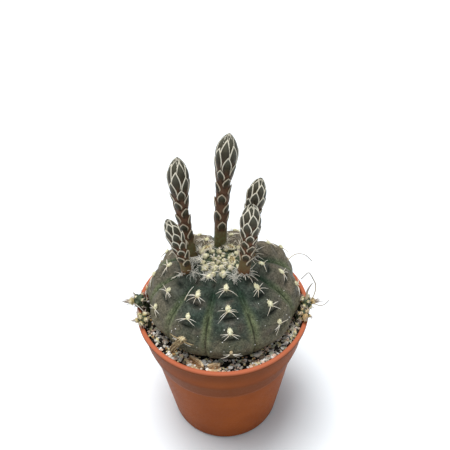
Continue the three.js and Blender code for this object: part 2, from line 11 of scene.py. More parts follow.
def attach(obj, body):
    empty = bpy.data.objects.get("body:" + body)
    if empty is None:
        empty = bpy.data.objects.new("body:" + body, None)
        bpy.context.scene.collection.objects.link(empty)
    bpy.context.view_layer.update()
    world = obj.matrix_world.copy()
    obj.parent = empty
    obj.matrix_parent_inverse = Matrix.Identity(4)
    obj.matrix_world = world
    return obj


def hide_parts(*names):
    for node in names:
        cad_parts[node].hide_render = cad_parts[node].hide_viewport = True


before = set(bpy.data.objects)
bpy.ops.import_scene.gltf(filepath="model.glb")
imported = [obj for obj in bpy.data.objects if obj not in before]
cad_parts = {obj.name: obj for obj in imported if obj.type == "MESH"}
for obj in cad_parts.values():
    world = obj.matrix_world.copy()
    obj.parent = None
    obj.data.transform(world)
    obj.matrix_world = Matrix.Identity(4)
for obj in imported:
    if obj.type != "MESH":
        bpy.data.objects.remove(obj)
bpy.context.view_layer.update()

MM = 0.001
BODY_NAME = "root"
GAP = 0.3
GOLDEN_ANGLE = 137.508

# Driving sizes of the pot. The "below" sizes are depths under the top of the rim.
POT_HEIGHT = 49.5
POT_WALL = 1.1
POT_FLOOR = 1.6
POT_SIDES = 128
RIM_RADIUS = 27.5
RIM_THICKNESS = 1.3
RIM_END_BELOW = 1.6
RIM_ROUND = 0.45
RIM_UNDERCUT = 0.45
COLLAR_RADIUS = 25.8
COLLAR_BELOW = 9.7
STEP_RADIUS = 23.5
STEP_BELOW = 17.5
BASE_RADIUS = 18.9
BASE_ROUND = 0.8
FOOT_INSET = 1.6
FOOT_HEIGHT = 0.25
FLOOR_MIDDLE = 5
DRAIN_COUNT = 6
DRAIN_RADIUS = 1.9
DRAIN_RING = 13
DRAIN_GROOVE_WIDTH = 2.6
DRAIN_GROOVE_DEPTH = 0.7

# Driving sizes of the body: an elliptic arc above its equator, a flatter one below it down to the
# underside angle, and a tapered root. Then its grooves, its tubercles and the creases between them,
# its sunken apex, and the wrinkles of its skin, each a height and a pitch of noise, with the fine
# lines in its grooves and the folds in its creases.
BODY_X = 0.3
BODY_Y = 0.5
BODY_RADIUS = 23.5
BODY_RISE = 14.6
BODY_DROP = 13
EQUATOR_Z = POT_HEIGHT + 4.2
UNDERSIDE_ANGLE = 55
ROOT_RADIUS = 5
ROOT_TOP_Z = POT_HEIGHT - 11
ROOT_TIP_Z = POT_HEIGHT - 24
GROOVE_START = 5
GROOVE_FULL = 11
GROOVE_DEPTH = 2.0
GROOVE_LOW_DEPTH = 0.9
GROOVE_LOW_FROM = 28
GROOVE_FADE_FROM = 30
GROOVE_END = 37
TUBERCLE_HEIGHT = 0.75
TUBERCLE_REACH = 1.8
CREASE_DEPTH = 0.55
CREASE_REACH = 0.75
TUBERCLE_ABOVE_AREOLE = 0.3
LOWEST_AREOLE_Z = POT_HEIGHT + 4.0
APEX_DIP = 1.0
APEX_DIP_RADIUS = 5
SKIN_WRINKLES = ((0.16, 0.45), (0.1, 1.3))
GROOVE_LINE_DEPTH = 0.35
GROOVE_LINE_WIDTH = 0.4
CREASE_FOLD_DEPTH = 0.35

# Each rib: the azimuth of the groove before it, where its first areole lies and how far apart they
# are, how far the rib swells beyond the plain form, and how green its groove is.
RIBS = [
    (-104, 11.2, 6.1, 0, 1.0),
    (-67, 14.2, 5.8, 0, 0.75),
    (-25, 11.8, 6.5, 0, 0.5),
    (12, 17.0, 6.3, 1.1, 0.15),
    (53, 12.2, 6.2, 0.3, 0.3),
    (99, 10.9, 6.3, 0, 0.3),
    (133, 16.8, 6.2, 0, 0.3),
    (161, 16.6, 6.4, 0, 0.4),
    (191.5, 18.6, 6.3, 0, 0.6),
    (223.5, 7.8, 6.6, 0, 0.7),
]

# Each bud: where it stands, where its tip is, how far its middle bows to +X, the bare radii of its
# stem and its head, how long its foot is bare and how ruddy that is, where its scales start round
# it, how far up each is over the last, and the lengths and half widths of its scales on the tube
# and on the head.
BUDS = {
    "back_tall": dict(azimuth=94.5, down=7.3, tip=(3.1, 8.4, 106.8), bow=-0.6, stem=1.95, head=3.3,
                      foot=7.4, ruddy=0, start=-78, rises=(1.24, 0.3), lengths=(4.0, 8.8),
                      halves=(1.3, 1.75)),
    "left_tall": dict(azimuth=157, down=10.6, tip=(-11.1, 5, 101.8), bow=-0.9, stem=1.85, head=3.2,
                      foot=3.4, ruddy=0.3, start=153, rises=(1.06, 0.33),
                      lengths=(3.8, 8.0), halves=(1.3, 1.7)),
    "left_short": dict(azimuth=197, down=11.6, tip=(-14.6, -4.6, 88.3), bow=0.8, stem=1.6,
                       head=2.55, foot=4.4, ruddy=1, start=-60, rises=(0.62, 0.34),
                       lengths=(3.2, 4.6), halves=(1.2, 1.4)),
    "right_front": dict(azimuth=-39.5, down=7.9, tip=(8.4, -6.6, 94.4), bow=0.4, stem=1.75,
                        head=3.0, foot=4.2, ruddy=1, start=-50, rises=(0.7, 0.36),
                        lengths=(3.5, 5.6), halves=(1.25, 1.6)),
    "right_back": dict(azimuth=22, down=8.9, tip=(11.5, 3.2, 95.8), bow=-0.9, stem=1.75, head=2.9,
                       foot=3.4, ruddy=0.6, start=-80, rises=(0.7, 0.36),
                       lengths=(3.5, 5.6), halves=(1.25, 1.6)),
}
HEAD_WIDEST = 6.9
HEAD_END = 18
HEAD_POINT = 0.86

# Each offset: azimuth, distance out, height over the rim, radius, the way its brush of spines
# points and how long that is, how tall its foremost pad of wool is for its width, and for that pad
# and for the other pads how wide they are as shares of the radius and how tan they are.
OFFSETS = {
    "left": dict(azimuth=181.5, out=26.5, above=2.6, radius=2.0, brush=(-1, -0.1, 0.05), reach=3.0,
                 tall=1, pads=(0.7, 0.24), tan=(0.2, 0.1)),
    "left_front": dict(azimuth=197, out=26.0, above=1.6, radius=1.7, brush=(-1, -0.3, 0.1),
                       reach=1.9, tall=1, pads=(0.56, 0.46), tan=(0.25, 0.15)),
    "right": dict(azimuth=-6, out=26.6, above=2.0, radius=1.8, brush=(1, 0, 0.35), reach=2.8,
                  tall=1, pads=(0.64, 0.42), tan=(0.6, 0.05)),
    "right_front": dict(azimuth=-16, out=26.2, above=1.5, radius=1.6, brush=(0.1, -1, 0.3),
                        reach=1.2, tall=1.6, pads=(0.62, 0.42), tan=(0.9, 0.5)),
}
# The spines of an offset's foremost pad and of each other pad: how many, their spread, thickness
OFFSET_SPINES = (16, 6)
OFFSET_SPREADS = (0.42, 0.8)
OFFSET_THICKNESSES = (0.18, 0.12)
OTHER_REACH = 1.8
STALK_RADIUS = 0.75
STALK_RING = 24.3
# The long hairs of the right offset: the thickness of each and its way
RIGHT_HAIRS = [
    (0.26, [(28.4, -3.4, 51.9), (30.4, -4, 51.4), (32, -4, 52), (33.1, -4, 53.8)]),
    (0.2, [(28.4, -2.5, 54), (28.8, -2.4, 58.6), (27.7, -2, 61.5), (26.4, -1.6, 63.6),
            (25.2, -1.6, 62.4), (24.2, -1.6, 60.9)]),
    (0.62, [(26.3, -2.4, 55.4), (26.8, -2.4, 57.9), (27.7, -2.4, 60)]),
]
HAIR_TIP = 0.14
BODY_HAIR_THICKNESS = 0.22
BODY_HAIR = [(20.6, 8.6, 58.4), (22.8, 9, 60.9), (24.6, 9, 61.7), (26.9, 9, 61), (29.2, 9, 58.3)]

# Shed spines that lie on the skin, the soil and the rim: how thick each is at its foot and at its
# tip, and their ways
SHED_SPINE_THICKNESSES = (0.13, 0.07)
SHED_SPINES = [
    [(-10.9, -12.0, 64.0), (-9.4, -10.2, 65.8), (-8.2, -8.7, 66.2)],
    [(-27.7, -2.7, 53.0), (-26.1, -3.9, 52.5), (-24.3, -5.4, 51.6)],
    [(-29.6, -7.7, 50.6), (-28.5, -7.6, 50.6), (-26.6, -7.5, 50.5)],
    [(9.7, -20.9, 48.5), (11.6, -19.4, 48.9), (13.4, -17.5, 48.9)],
]

# The pads of wool of the ribs, young and old
AREOLE_SIZES = (0.85, 1.02)
OLD_AREOLE_SIZE = 0.7
AREOLE_WIDTH = 0.86
AREOLE_LENGTHS = (1.3, 1.0)
AREOLE_HEIGHT = 0.66

# The spines of an areole: the turn of each from straight downhill, its share of a full length and
# how often it is there. Then the full lengths, the thickness, how many are long and by how much,
# the thickness at the tip, and how far they rise off the skin.
SPIDER = [(-106, 0.9, 0.6), (-82, 1, 1), (-56, 0.9, 0.7), (6, 0.65, 0.2), (54, 0.9, 0.7),
          (80, 1, 1), (104, 0.9, 0.6)]
SPIDER_LENGTHS = (2.1, 3.2)
SPIDER_THICKNESS = 0.11
LONG_SPINES = 0.12
LONG_SPINE = 1.4
SPINE_TIP = 0.045
SPIDER_RISE = 0.6

# Things in the pot. The soil's crumbled top has a few sizes of noise, each a height and a pitch.
SOIL_Z = POT_HEIGHT - 3.0
SOIL_SIDES = 200
SOIL_CRUMBLE = ((0.5, 0.9), (0.3, 2.3), (0.15, 5))
DRIED_FLOWER_ROUTE = [(-11.8, -21.0, 57.7), (-13.0, -20.8, 55.8), (-14.3, -19.8, 53),
                      (-15.0, -18.9, 50.2)]
DRIED_FLOWER_RADIUS = 1.05
DRIED_FLOWER_FOLDS = 6
# The withered petals at its head
DRIED_PETALS = [
    [(-11.8, -21.1, 57.8), (-13.4, -21.2, 58.9), (-15.0, -20.2, 59.3)],
    [(-11.6, -21.2, 57.6), (-10.0, -22.3, 57.4), (-8.3, -22.6, 57.0)],
    [(-12.0, -21.3, 57.6), (-13.0, -21.8, 56.8), (-13.7, -21.7, 56.2)],
    [(-11.6, -21.2, 57.8), (-11.0, -21.8, 58.5), (-10.2, -22.0, 58.4)],
]
BARK = {
    "left": dict(azimuth=-111, out=23.3, size=(2.8, 1.25, 0.35), turn=-46, tip=24),
    "right": dict(azimuth=-97, out=23.6, size=(1.7, 1.0, 0.35), turn=4, tip=12),
}
BARK_ABOVE_SOIL = 0.6

# The grit: how many grains, the share of them in an arc at the front, their sizes, how many are
# large and by how much, how far they keep from the skin at the front and elsewhere, how far out
# they lie, how high they heap up, from where to where that grows, and its share away from the
# front, and the arc where some are creamy
GRAINS = 1050
FRONT_GRAINS = 0.6
FRONT_ARC = (-170, 5)
GRAIN_SIZES = (0.36, 1.0)
LARGE_GRAINS = 0.06
LARGE_GRAIN = 1.3
GRAINS_FROM_SKIN = (1.2, 0.9)
GRAINS_END = 26.0
HEAP_HEIGHTS = (0.5, 1.5)
HEAP_OUTS = (23, 26)
HEAP_ELSEWHERE = 0.6
CREAMY_ARC = (-62, -14)
CREAMY_GRAINS = 0.16
CREAMY_TINT = 0.84
CRUMBS = 500
CRUMB_SIZES = (0.2, 0.6)
CRUMBS_FROM_SKIN = 0.5
CRUMBS_END = 25.6
# The specks of grit on the skin: how many, and their arc, places down the skin and sizes
SPECKS = 36
SPECK_ARC = (-165, -15)
SPECK_DOWNS = (17, 31)
SPECK_SIZES = (0.1, 0.24)

# Where the camera stands, how far it looks down and how it leans
CAMERA_PLACE = (1.303, -120.057, 181.918)
CAMERA_DOWN = 39.8
CAMERA_LEAN = -1.37
CAMERA_LENS = 44

# The light, its sizes in metres, and the soft white all round
LIGHT_PLACE = (-0.17, 0.085, 1.4)
LIGHT_AIM_Z = 0.05
LIGHT_SIZE = 0.71
LIGHT_POWER = 20.5
WORLD_COLOR = (0.9, 0.96, 1, 1)
WORLD_STRENGTH = 0.44


# Small sums

def lerp(low, high, share):
    return low + (high - low) * share


def clamp(value, low=0.0, high=1.0):
    return min(high, max(low, value))


def smoothstep(value, low, high):
    share = clamp((value - low) / (high - low))
    return share * share * (3 - 2 * share)


def at_azimuth(azimuth, radius, z=0.0):
    angle = math.radians(azimuth)
    return Vector((radius * math.cos(angle), radius * math.sin(angle), z))


def turned_about(vector, axis, angle):
    return Quaternion(axis, math.radians(angle)) @ vector


def uneven(point, waves):
    """The height of a few sizes of noise at a point, from the height and pitch of each."""
    return sum(height * noise(point * pitch) for height, pitch in waves)


def standing_on(point, normal, up):
    """The matrix that puts a piece modelled at the origin on a point, its +Z along the normal."""
    z = normal.normalized()
    x = up.cross(z).normalized()
    y = z.cross(x)
    return Matrix.Translation(point) @ Matrix((x, y, z)).transposed().to_4x4()


class Line:
    """A line through close points, read by the distance along it."""

    def __init__(self, points):
        self.points = [Vector(point) for point in points]
        self.reached = [0.0]
        for start, end in zip(self.points, self.points[1:]):
            self.reached.append(self.reached[-1] + (end - start).length)
        self.length = self.reached[-1]

    def at(self, distance):
        """The point at a distance, and the direction of the line there."""
        index = clamp(bisect.bisect_right(self.reached, distance) - 1, 0, len(self.points) - 2)
        start, end = self.points[index], self.points[index + 1]
        share = (distance - self.reached[index]) / (end - start).length
        return start + (end - start) * share, (end - start).normalized()


def point_on(points, share):
    """A point on a smooth line through a few points."""
    place = clamp(share) * (len(points) - 1)
    index = min(int(place), len(points) - 2)
    t = place - index
    a, b, c, d = (Vector(points[clamp(index + i, 0, len(points) - 1)]) for i in (-1, 0, 1, 2))
    return 0.5 * (2 * b + (c - a) * t + (2 * a - 5 * b + 4 * c - d) * t * t
                  + (3 * b - a - 3 * c + d) * t ** 3)


# Modelling

def pick(*pieces):
    """Deselects everything, and selects these pieces, the first of them active."""
    bpy.ops.object.select_all(action="DESELECT")
    for piece in pieces:
        piece.select_set(True)
    bpy.context.view_layer.objects.active = pieces[0] if pieces else None


def added(operator, **settings):
    """The new piece that an operator adds."""
    pick()
    operator(**settings)
    return bpy.context.object


def edit(piece):
    pick(piece)
    bpy.ops.object.mode_set(mode="EDIT")
    bpy.ops.mesh.select_mode(type="VERT")
    bpy.ops.mesh.select_all(action="DESELECT")


def leave_edit():
    bpy.ops.object.mode_set(mode="OBJECT")


def apply_modifier(piece, kind, **settings):
    pick(piece)
    modifier = piece.modifiers.new(kind.title(), kind)
    for name, value in settings.items():
        setattr(modifier, name, value)
    bpy.ops.object.modifier_apply(modifier=modifier.name)


def move_vertices(piece, place):
    """Moves each vertex to where place(vertex's point) says."""
    for vertex in piece.data.vertices:
        vertex.co = place(vertex.co.copy())


def copy_of(piece, matrix=Matrix.Identity(4)):
    """A copy of a piece with its own mesh, moved by a matrix."""
    copy = piece.copy()
    copy.data = piece.data.copy()
    copy.data.transform(matrix)
    bpy.context.collection.objects.link(copy)
    return copy


def joined(pieces):
    pick(*pieces)
    bpy.ops.object.join()
    return pieces[0]


def remove(*pieces):
    for piece in pieces:
        bpy.data.objects.remove(piece)


def mark(piece, name, values):
    """Stores a number on each vertex for the piece's material to read: a list, or one for all."""
    if not isinstance(values, list):
        values = [values] * len(piece.data.vertices)
    attribute = piece.data.attributes.new(name, "FLOAT", "POINT")
    attribute.data.foreach_set("value", values)


def finish_piece(piece, name, material, slot, *nodes, smooth=180):
    """Names a piece, brings it to metres, gives it its material and puts it in the frame."""
    piece.name = name
    piece.data.name = name
    piece.data.transform(Matrix.Scale(MM, 4))
    piece.data.materials.clear()
    piece.data.materials.append(material)
    pick(piece)
    bpy.ops.object.shade_smooth_by_angle(angle=math.radians(smooth))
    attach(piece, BODY_NAME)
    if nodes:
        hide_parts(*nodes)


def strands(lines):
    """Thin tapering hairs or spines, each a list of (point, radius) pairs, as one mesh that
    stores how far along its hair each vertex is."""
    piece = added(bpy.ops.curve.primitive_nurbs_path_add, location=(0, 0, 0))
    curve = piece.data
    curve.splines.clear()
    curve.bevel_depth = 1
    curve.bevel_resolution = 0
    curve.use_fill_caps = True
    for line in lines:
        spline = curve.splines.new("POLY")
        spline.points.add(len(line) - 1)
        for place, (point, radius) in zip(spline.points, line):
            place.co = (*point, 1)
            place.radius = radius
    pick(piece)
    bpy.ops.object.convert(target="MESH")
    piece = bpy.context.object
    caps = [1, 1, 1, 1, 0, 0, 0, 0] * len(lines)
    rings = [i / (len(line) - 1) for line in lines for i in range(len(line)) for _ in range(4)]
    mark(piece, "along_hair", caps + rings)
    edit(piece)
    bpy.ops.mesh.select_all(action="SELECT")
    bpy.ops.mesh.remove_doubles(threshold=1e-4)
    leave_edit()
    return piece


def ring_mesh(segments, rings, place):
    """A closed sphere whose vertices go where place(azimuth, ring number) says, and the azimuth
    and ring number of each."""
    piece = added(bpy.ops.mesh.primitive_uv_sphere_add, segments=segments, ring_count=rings,
                  radius=1)
    spots = []
    for vertex in piece.data.vertices:
        point = vertex.co.copy()
        ring = round(math.acos(clamp(point.z, -1, 1)) / math.pi * rings)
        spots.append((math.degrees(math.atan2(point.y, point.x)), ring))
        vertex.co = place(*spots[-1])
    return piece, spots


def turned(outline, sides):
    """A closed turned piece about Z through (radius, height) pairs, filled at both ends."""
    radius, z = outline[0]
    piece = added(bpy.ops.mesh.primitive_circle_add, vertices=sides, radius=radius,
                  location=(0, 0, z), fill_type="TRIFAN")
    bpy.ops.object.transform_apply(location=True)
    edit(piece)
    bpy.ops.mesh.select_mode(type="EDGE")
    bpy.ops.mesh.select_non_manifold()
    for next_radius, next_z in outline[1:]:
        bpy.ops.mesh.extrude_region_move(
            TRANSFORM_OT_translate={"value": (0, 0, next_z - z)})
        share = next_radius / radius
        bpy.ops.transform.resize(value=(share, share, 1), center_override=(0, 0, next_z))
        radius, z = next_radius, next_z
    bpy.ops.mesh.edge_face_add()
    bpy.ops.mesh.poke()
    bpy.ops.mesh.select_all(action="SELECT")
    bpy.ops.mesh.normals_make_consistent(inside=False)
    leave_edit()
    return piece


def rounded(corners, steps=4):
    """An outline through (radius, height, fillet) corners, with an arc at each fillet."""
    points = []
    for i, (x, y, fillet) in enumerate(corners):
        if not fillet:
            points.append((x, y))
            continue
        corner = Vector((x, y))
        before = (Vector(corners[i - 1][:2]) - corner).normalized() * fillet
        after = (Vector(corners[i + 1][:2]) - corner).normalized() * fillet
        for step in range(steps + 1):
            t = step / steps
            points.append(tuple(corner + before * (1 - t) ** 2 + after * t ** 2))
    return points


# Materials

def tone(red, green, blue):
    """A colour from its 0 to 255 screen values."""
    def linear(value):
        value /= 255
        return value / 12.92 if value <= 0.04045 else ((value + 0.055) / 1.055) ** 2.4
    return (linear(red), linear(green), linear(blue), 1)


class Finish:
    """A material in the making: its shader, and short ways to add the nodes that feed it."""

    def __init__(self, name, **constants):
        self.material = bpy.data.materials.new(name)
        self.material.use_nodes = True
        self.tree = self.material.node_tree
        self.shader = self.tree.nodes["Principled BSDF"]
        for socket, value in constants.items():
            self.shader.inputs[socket.replace("_", " ").title().replace("Ior", "IOR")
                               ].default_value = value
        self.place = self.tree.nodes.new("ShaderNodeTexCoord").outputs["Object"]

    def node(self, kind, inputs, output=0, **settings):
        """An output of a new node. An input is a socket, the name of a stored number or a value."""
        made = self.tree.nodes.new(kind)
        for name, value in settings.items():
            setattr(made, name, value)
        for name, value in inputs.items():
            if isinstance(value, str):
                value = self.node("ShaderNodeAttribute", {}, "Fac", attribute_name=value)
            if isinstance(value, bpy.types.NodeSocket):
                self.tree.links.new(value, made.inputs[name])
            else:
                made.inputs[name].default_value = value
        return made.outputs[output]

    def cloud(self, size, detail=4, roughness=0.55, stretch=None):
        """Soft noise from 0 to 1 with spots of about this size in millimetres."""
        place = self.place
        if stretch:
            place = self.node("ShaderNodeMapping", {"Vector": place, "Scale": stretch})
        return self.node("ShaderNodeTexNoise", {
            "Vector": place, "Scale": 1 / (size * MM), "Detail": detail, "Roughness": roughness})

    def cells(self, size):
        return self.node("ShaderNodeTexVoronoi", {
            "Vector": self.place, "Scale": 1 / (size * MM)}, "Distance")

    def sum(self, operation, *values):
        return self.node("ShaderNodeMath", dict(enumerate(values)), operation=operation)

    def times(self, *values):
        return functools.reduce(lambda a, b: self.sum("MULTIPLY", a, b), values)

    def largest(self, first, second):
        return self.sum("MAXIMUM", first, second)

    def millimetres(self, axis):
        """The place along an axis."""
        place = self.node("ShaderNodeSeparateXYZ", {"Vector": self.place}, axis)
        return self.times(place, 1 / MM)

    def between(self, value, low, high, to_low=0.0, to_high=1.0):
        """Goes smoothly from one value to another while the input goes from low to high."""
        return self.node("ShaderNodeMapRange", {
            "Value": value, "From Min": low, "From Max": high, "To Min": to_low,
            "To Max": to_high}, interpolation_type="SMOOTHSTEP")

    def ramp(self, value, stops, interpolation="LINEAR"):
        """A colour by a value, from the screen values at a few stops."""
        color = self.node("ShaderNodeValToRGB", {0: value})
        ramp = color.node.color_ramp
        ramp.interpolation = interpolation
        while len(ramp.elements) < len(stops):
            ramp.elements.new(0.5)
        for element, (position, values) in zip(ramp.elements, stops.items()):
            element.position = position
            element.color = tone(*values)
        return color

    def layers(self, color, *tops, kind="MIX"):
        """A colour with others laid over it, each by its share. A colour is a socket or its
        screen values."""
        for share, top in tops:
            first, second = (value if isinstance(value, bpy.types.NodeSocket) else tone(*value)
                             for value in (color, top))
            color = self.node("ShaderNodeMix", {0: share, 6: first, 7: second}, 2,
                              data_type="RGBA", blend_type=kind)
        return color

    def bump(self, height, distance, strength=1.0, under=None):
        inputs = {"Height": height, "Distance": distance * MM, "Strength": strength}
        if under:
            inputs["Normal"] = under
        return self.node("ShaderNodeBump", inputs)

    def feed(self, color, normal=None, rough=None):
        for name, value in (("Base Color", color), ("Normal", normal), ("Roughness", rough)):
            if value is not None:
                self.tree.links.new(value, self.shader.inputs[name])
        return self.material


def pot_plastic():
    """Moulded terracotta-coloured plastic: satin and a little cloudy, with painted shade at the
    very bottom, under the rim and between the collar and the step.
    """
    finish = Finish("terracotta_plastic", ior=1.46, specular_ior_level=0.035)
    cloudy = finish.cloud(9, detail=3)
    fine = finish.cloud(0.8, detail=5, roughness=0.7)
    height = finish.millimetres("Z")
    step = POT_HEIGHT - STEP_BELOW
    collar = POT_HEIGHT - COLLAR_BELOW
    # Painted shade: the wall from the collar's lower edge down to the step is darkened, where the
    # collar shades it.
    painted_shade_band = finish.times(finish.between(height, step - 1.5, step + 2),
                        finish.between(height, collar + 2.5, collar - 1.5), 0.65)
    # Painted shadow under the rim, deepest just below it.
    under_rim = finish.between(height, POT_HEIGHT - 10, POT_HEIGHT - 2, 0, 0.6)
    # The top of the rim is lighter and pinker: partly a painted highlight, partly sun-bleaching.
    rim = finish.between(height, POT_HEIGHT - 0.9, POT_HEIGHT - 0.3)
    chalk = finish.between(finish.cloud(2.2, detail=6, roughness=0.75), 0.62, 0.74)
    # Painted shade: darker over the bottom millimetre of the pot.
    painted_base_shade = finish.between(height, 0.9, 0.2, 0, 0.5)
    color = finish.layers(
        finish.ramp(cloudy, {0.35: (138, 68, 25), 0.65: (148, 75, 29)}),
        # Dark brown for the painted shade band and the painted shadow under the rim.
        (finish.largest(painted_shade_band, under_rim), (96, 50, 22)),
        (rim, (183, 103, 73)),
        (finish.times(chalk, rim, 0.55), (226, 170, 150)),
        (painted_base_shade, (110, 66, 44)))
    normal = finish.bump(cloudy, 0.12, 0.5, under=finish.bump(fine, 0.012))
    return finish.feed(color, normal, finish.between(fine, 0.3, 0.7, 0.36, 0.5))


def peat():
    finish = Finish("black_peat", roughness=0.95, specular_ior_level=0.2)
    color = finish.ramp(finish.cloud(0.9, detail=6, roughness=0.7), {
        0.3: (14, 12, 11), 0.55: (34, 30, 25), 0.75: (72, 60, 48)})
    return finish.feed(color, finish.bump(finish.cells(0.7), 0.3))


def stone():
    """Grit of several minerals; each grain has its own tint."""
    finish = Finish("mineral_grit", roughness=0.8, specular_ior_level=0.35)
    tints = finish.ramp("tint", {
        0.0: (253, 250, 244), 0.27: (240, 230, 214), 0.39: (216, 207, 191),
        0.47: (244, 212, 190), 0.61: (212, 214, 188), 0.7: (136, 120, 102),
        0.8: (240, 228, 178), 0.88: (206, 166, 112), 0.93: (56, 50, 45)}, "CONSTANT")
    speckle = finish.ramp(finish.cloud(0.35, detail=4, roughness=0.7), {
        0.3: (190, 187, 182), 0.55: (255, 255, 255)})
    color = finish.layers(tints, (0.25, speckle), kind="MULTIPLY")
    return finish.feed(color, finish.bump(finish.cloud(0.25), 0.1))


def skin():
    """Grey to purplish ribs, green valleys, painted shade in the creases between the areoles and
    along the bottom of each groove, corky low down.
    """
    finish = Finish("cactus_skin", specular_ior_level=0.14)
    patch = finish.cloud(2.2, detail=5, roughness=0.65)
    grain = finish.cloud(0.5, detail=5, roughness=0.75)
    rib = finish.ramp(finish.cloud(6, detail=3), {
        0.3: (54, 72, 62), 0.5: (76, 86, 76), 0.7: (104, 96, 86)})
    side = finish.between(finish.sum("ABSOLUTE", finish.millimetres("X")), 8, 20, 0, 0.5)
    back = finish.between(finish.millimetres("Y"), -3, 10, 0, 0.7)
    old_valley = finish.ramp(patch, {0.3: (106, 120, 88), 0.7: (150, 156, 120)})
    valley = finish.layers((54, 78, 62), (finish.between("down", 12, 24), old_valley))
    stripe = finish.times(finish.between("groove_gap", 1.5, 0.6), "green",
                          finish.between("down", 17, 25, 0, 0.6),
                          finish.between(patch, 0.35, 0.6, 0.25, 1))
    low = finish.times(finish.between("down", 21, 31), finish.between(patch, 0.3, 0.6, 0.2, 0.8))
    color = finish.layers(
        rib,
        (finish.largest(side, back), (154, 139, 119)),
        (finish.between("across", 0.55, 0.05), valley),
        (stripe, (128, 138, 98)),
        # Painted shade: a thin dark line along the bottom of each groove.
        (finish.between("groove_gap", 0.4, 0.12, 0, 0.75), (40, 50, 34)),
        # Painted shade: the creases between the areoles darkened almost to black.
        ("crease", (26, 38, 32)),
        (low, (136, 129, 104)))
    mottle = finish.ramp(finish.cloud(1.3, detail=6, roughness=0.8), {
        0.38: (150, 152, 148), 0.5: (222, 222, 218), 0.62: (255, 255, 255)})
    speck = finish.ramp(grain, {
        0.34: (110, 110, 108), 0.48: (208, 208, 206), 0.62: (255, 255, 255)})
    color = finish.layers(color, (0.75, mottle), (0.85, speck), kind="MULTIPLY")
    fleck = finish.between(finish.cloud(0.35, detail=4, roughness=0.7), 0.62, 0.72, 0, 0.55)
    color = finish.layers(color, (fleck, (150, 150, 138)))
    normal = finish.bump(patch, 0.25, 0.6, under=finish.bump(grain, 0.08))
    return finish.feed(color, normal, finish.between(patch, 0.3, 0.7, 0.42, 0.6))


def wool(name, pale, deep):
    """Matted wool with darker patches and painted shade low on its sides, each as strong as the
    pad's share of patches and shade; tan where it is old."""
    finish = Finish(name, roughness=0.9, specular_ior_level=0.15, sheen_weight=0.3)
    dark_patches = finish.between(finish.cloud(0.75, detail=5, roughness=0.75), 0.54, 0.4)
    color = finish.layers(
        finish.ramp(finish.cloud(0.5, detail=5, roughness=0.7), {0.32: deep, 0.62: pale}),
        # Dark patches, and painted shade low on the pad's sides.
        (finish.times(finish.largest(dark_patches, "low"), "patches_and_shade"), (166, 150, 84)),
        ("age", (200, 156, 100)))
    return finish.feed(color, finish.bump(finish.cloud(0.18), 0.2))


def spine():
    finish = Finish("pale_spine", roughness=0.5, specular_ior_level=0.4)
    color = finish.layers(
        finish.ramp(finish.cloud(1.4, detail=3), {
            0.3: (206, 190, 164), 0.55: (240, 232, 216), 0.75: (250, 248, 240)}),
        (finish.between("along_hair", 0.35, 0, 0, 0.5), (214, 190, 136)))
    return finish.feed(color, finish.bump(finish.cloud(0.2), 0.03))


def tan_hair():
    finish = Finish("tan_hair", roughness=0.55, specular_ior_level=0.3)
    color = finish.layers(
        finish.ramp(finish.cloud(3, detail=3), {0.3: (214, 184, 136), 0.6: (238, 224, 196)}),
        (finish.between("along_hair", 0.1, 0.6, 0, 0.8), (164, 152, 146)))
    return finish.feed(color, finish.bump(finish.cloud(0.2), 0.03))


def young_flesh():
    finish = Finish("young_flesh", roughness=0.5, specular_ior_level=0.4)
    outer = finish.ramp(finish.cloud(0.7, detail=5, roughness=0.7), {
        0.3: (44, 56, 50), 0.7: (92, 98, 88)})
    color = finish.layers(
        finish.ramp(finish.cloud(0.8, detail=5, roughness=0.65), {
            0.3: (34, 44, 30), 0.5: (58, 70, 46), 0.72: (100, 110, 78)}),
        (finish.between("out", 4.5, 7), outer))
    return finish.feed(color, finish.bump(finish.cloud(0.3), 0.1))


def young_scales():
    """The pale, folded scales of buds that are still in the crown's wool."""
    finish = Finish("young_scales", roughness=0.6, specular_ior_level=0.25)
    color = finish.layers(
        # Painted shade: brown in the creases between the folds, pale on their ridges.
        finish.ramp("fold", {0.2: (92, 64, 38), 0.5: (168, 142, 88), 0.85: (232, 222, 176)}),
        (finish.between(finish.cloud(0.9), 0.5, 0.62, 0, 0.7), (92, 100, 62)))
    return finish.feed(color, finish.bump(finish.cloud(0.2), 0.08))


def bud_tube():
    finish = Finish("bud_tube", roughness=0.55, specular_ior_level=0.2)
    patch = finish.cloud(1.2, detail=4)
    olive = finish.ramp(patch, {0.3: (108, 86, 54), 0.5: (102, 100, 66), 0.7: (124, 124, 88)})
    color = finish.layers(
        finish.ramp(patch, {0.3: (84, 59, 42), 0.7: (114, 82, 60)}),
        (finish.between("along", 9.5, 5.5), olive),
        (finish.times(finish.between("along", 4.5, 0.5, 0.25, 0.75), "ruddy"), (128, 74, 48)),
        (finish.between("to_end", 5, 3), (54, 50, 36)))
    return finish.feed(color, finish.bump(finish.cloud(0.5), 0.06))


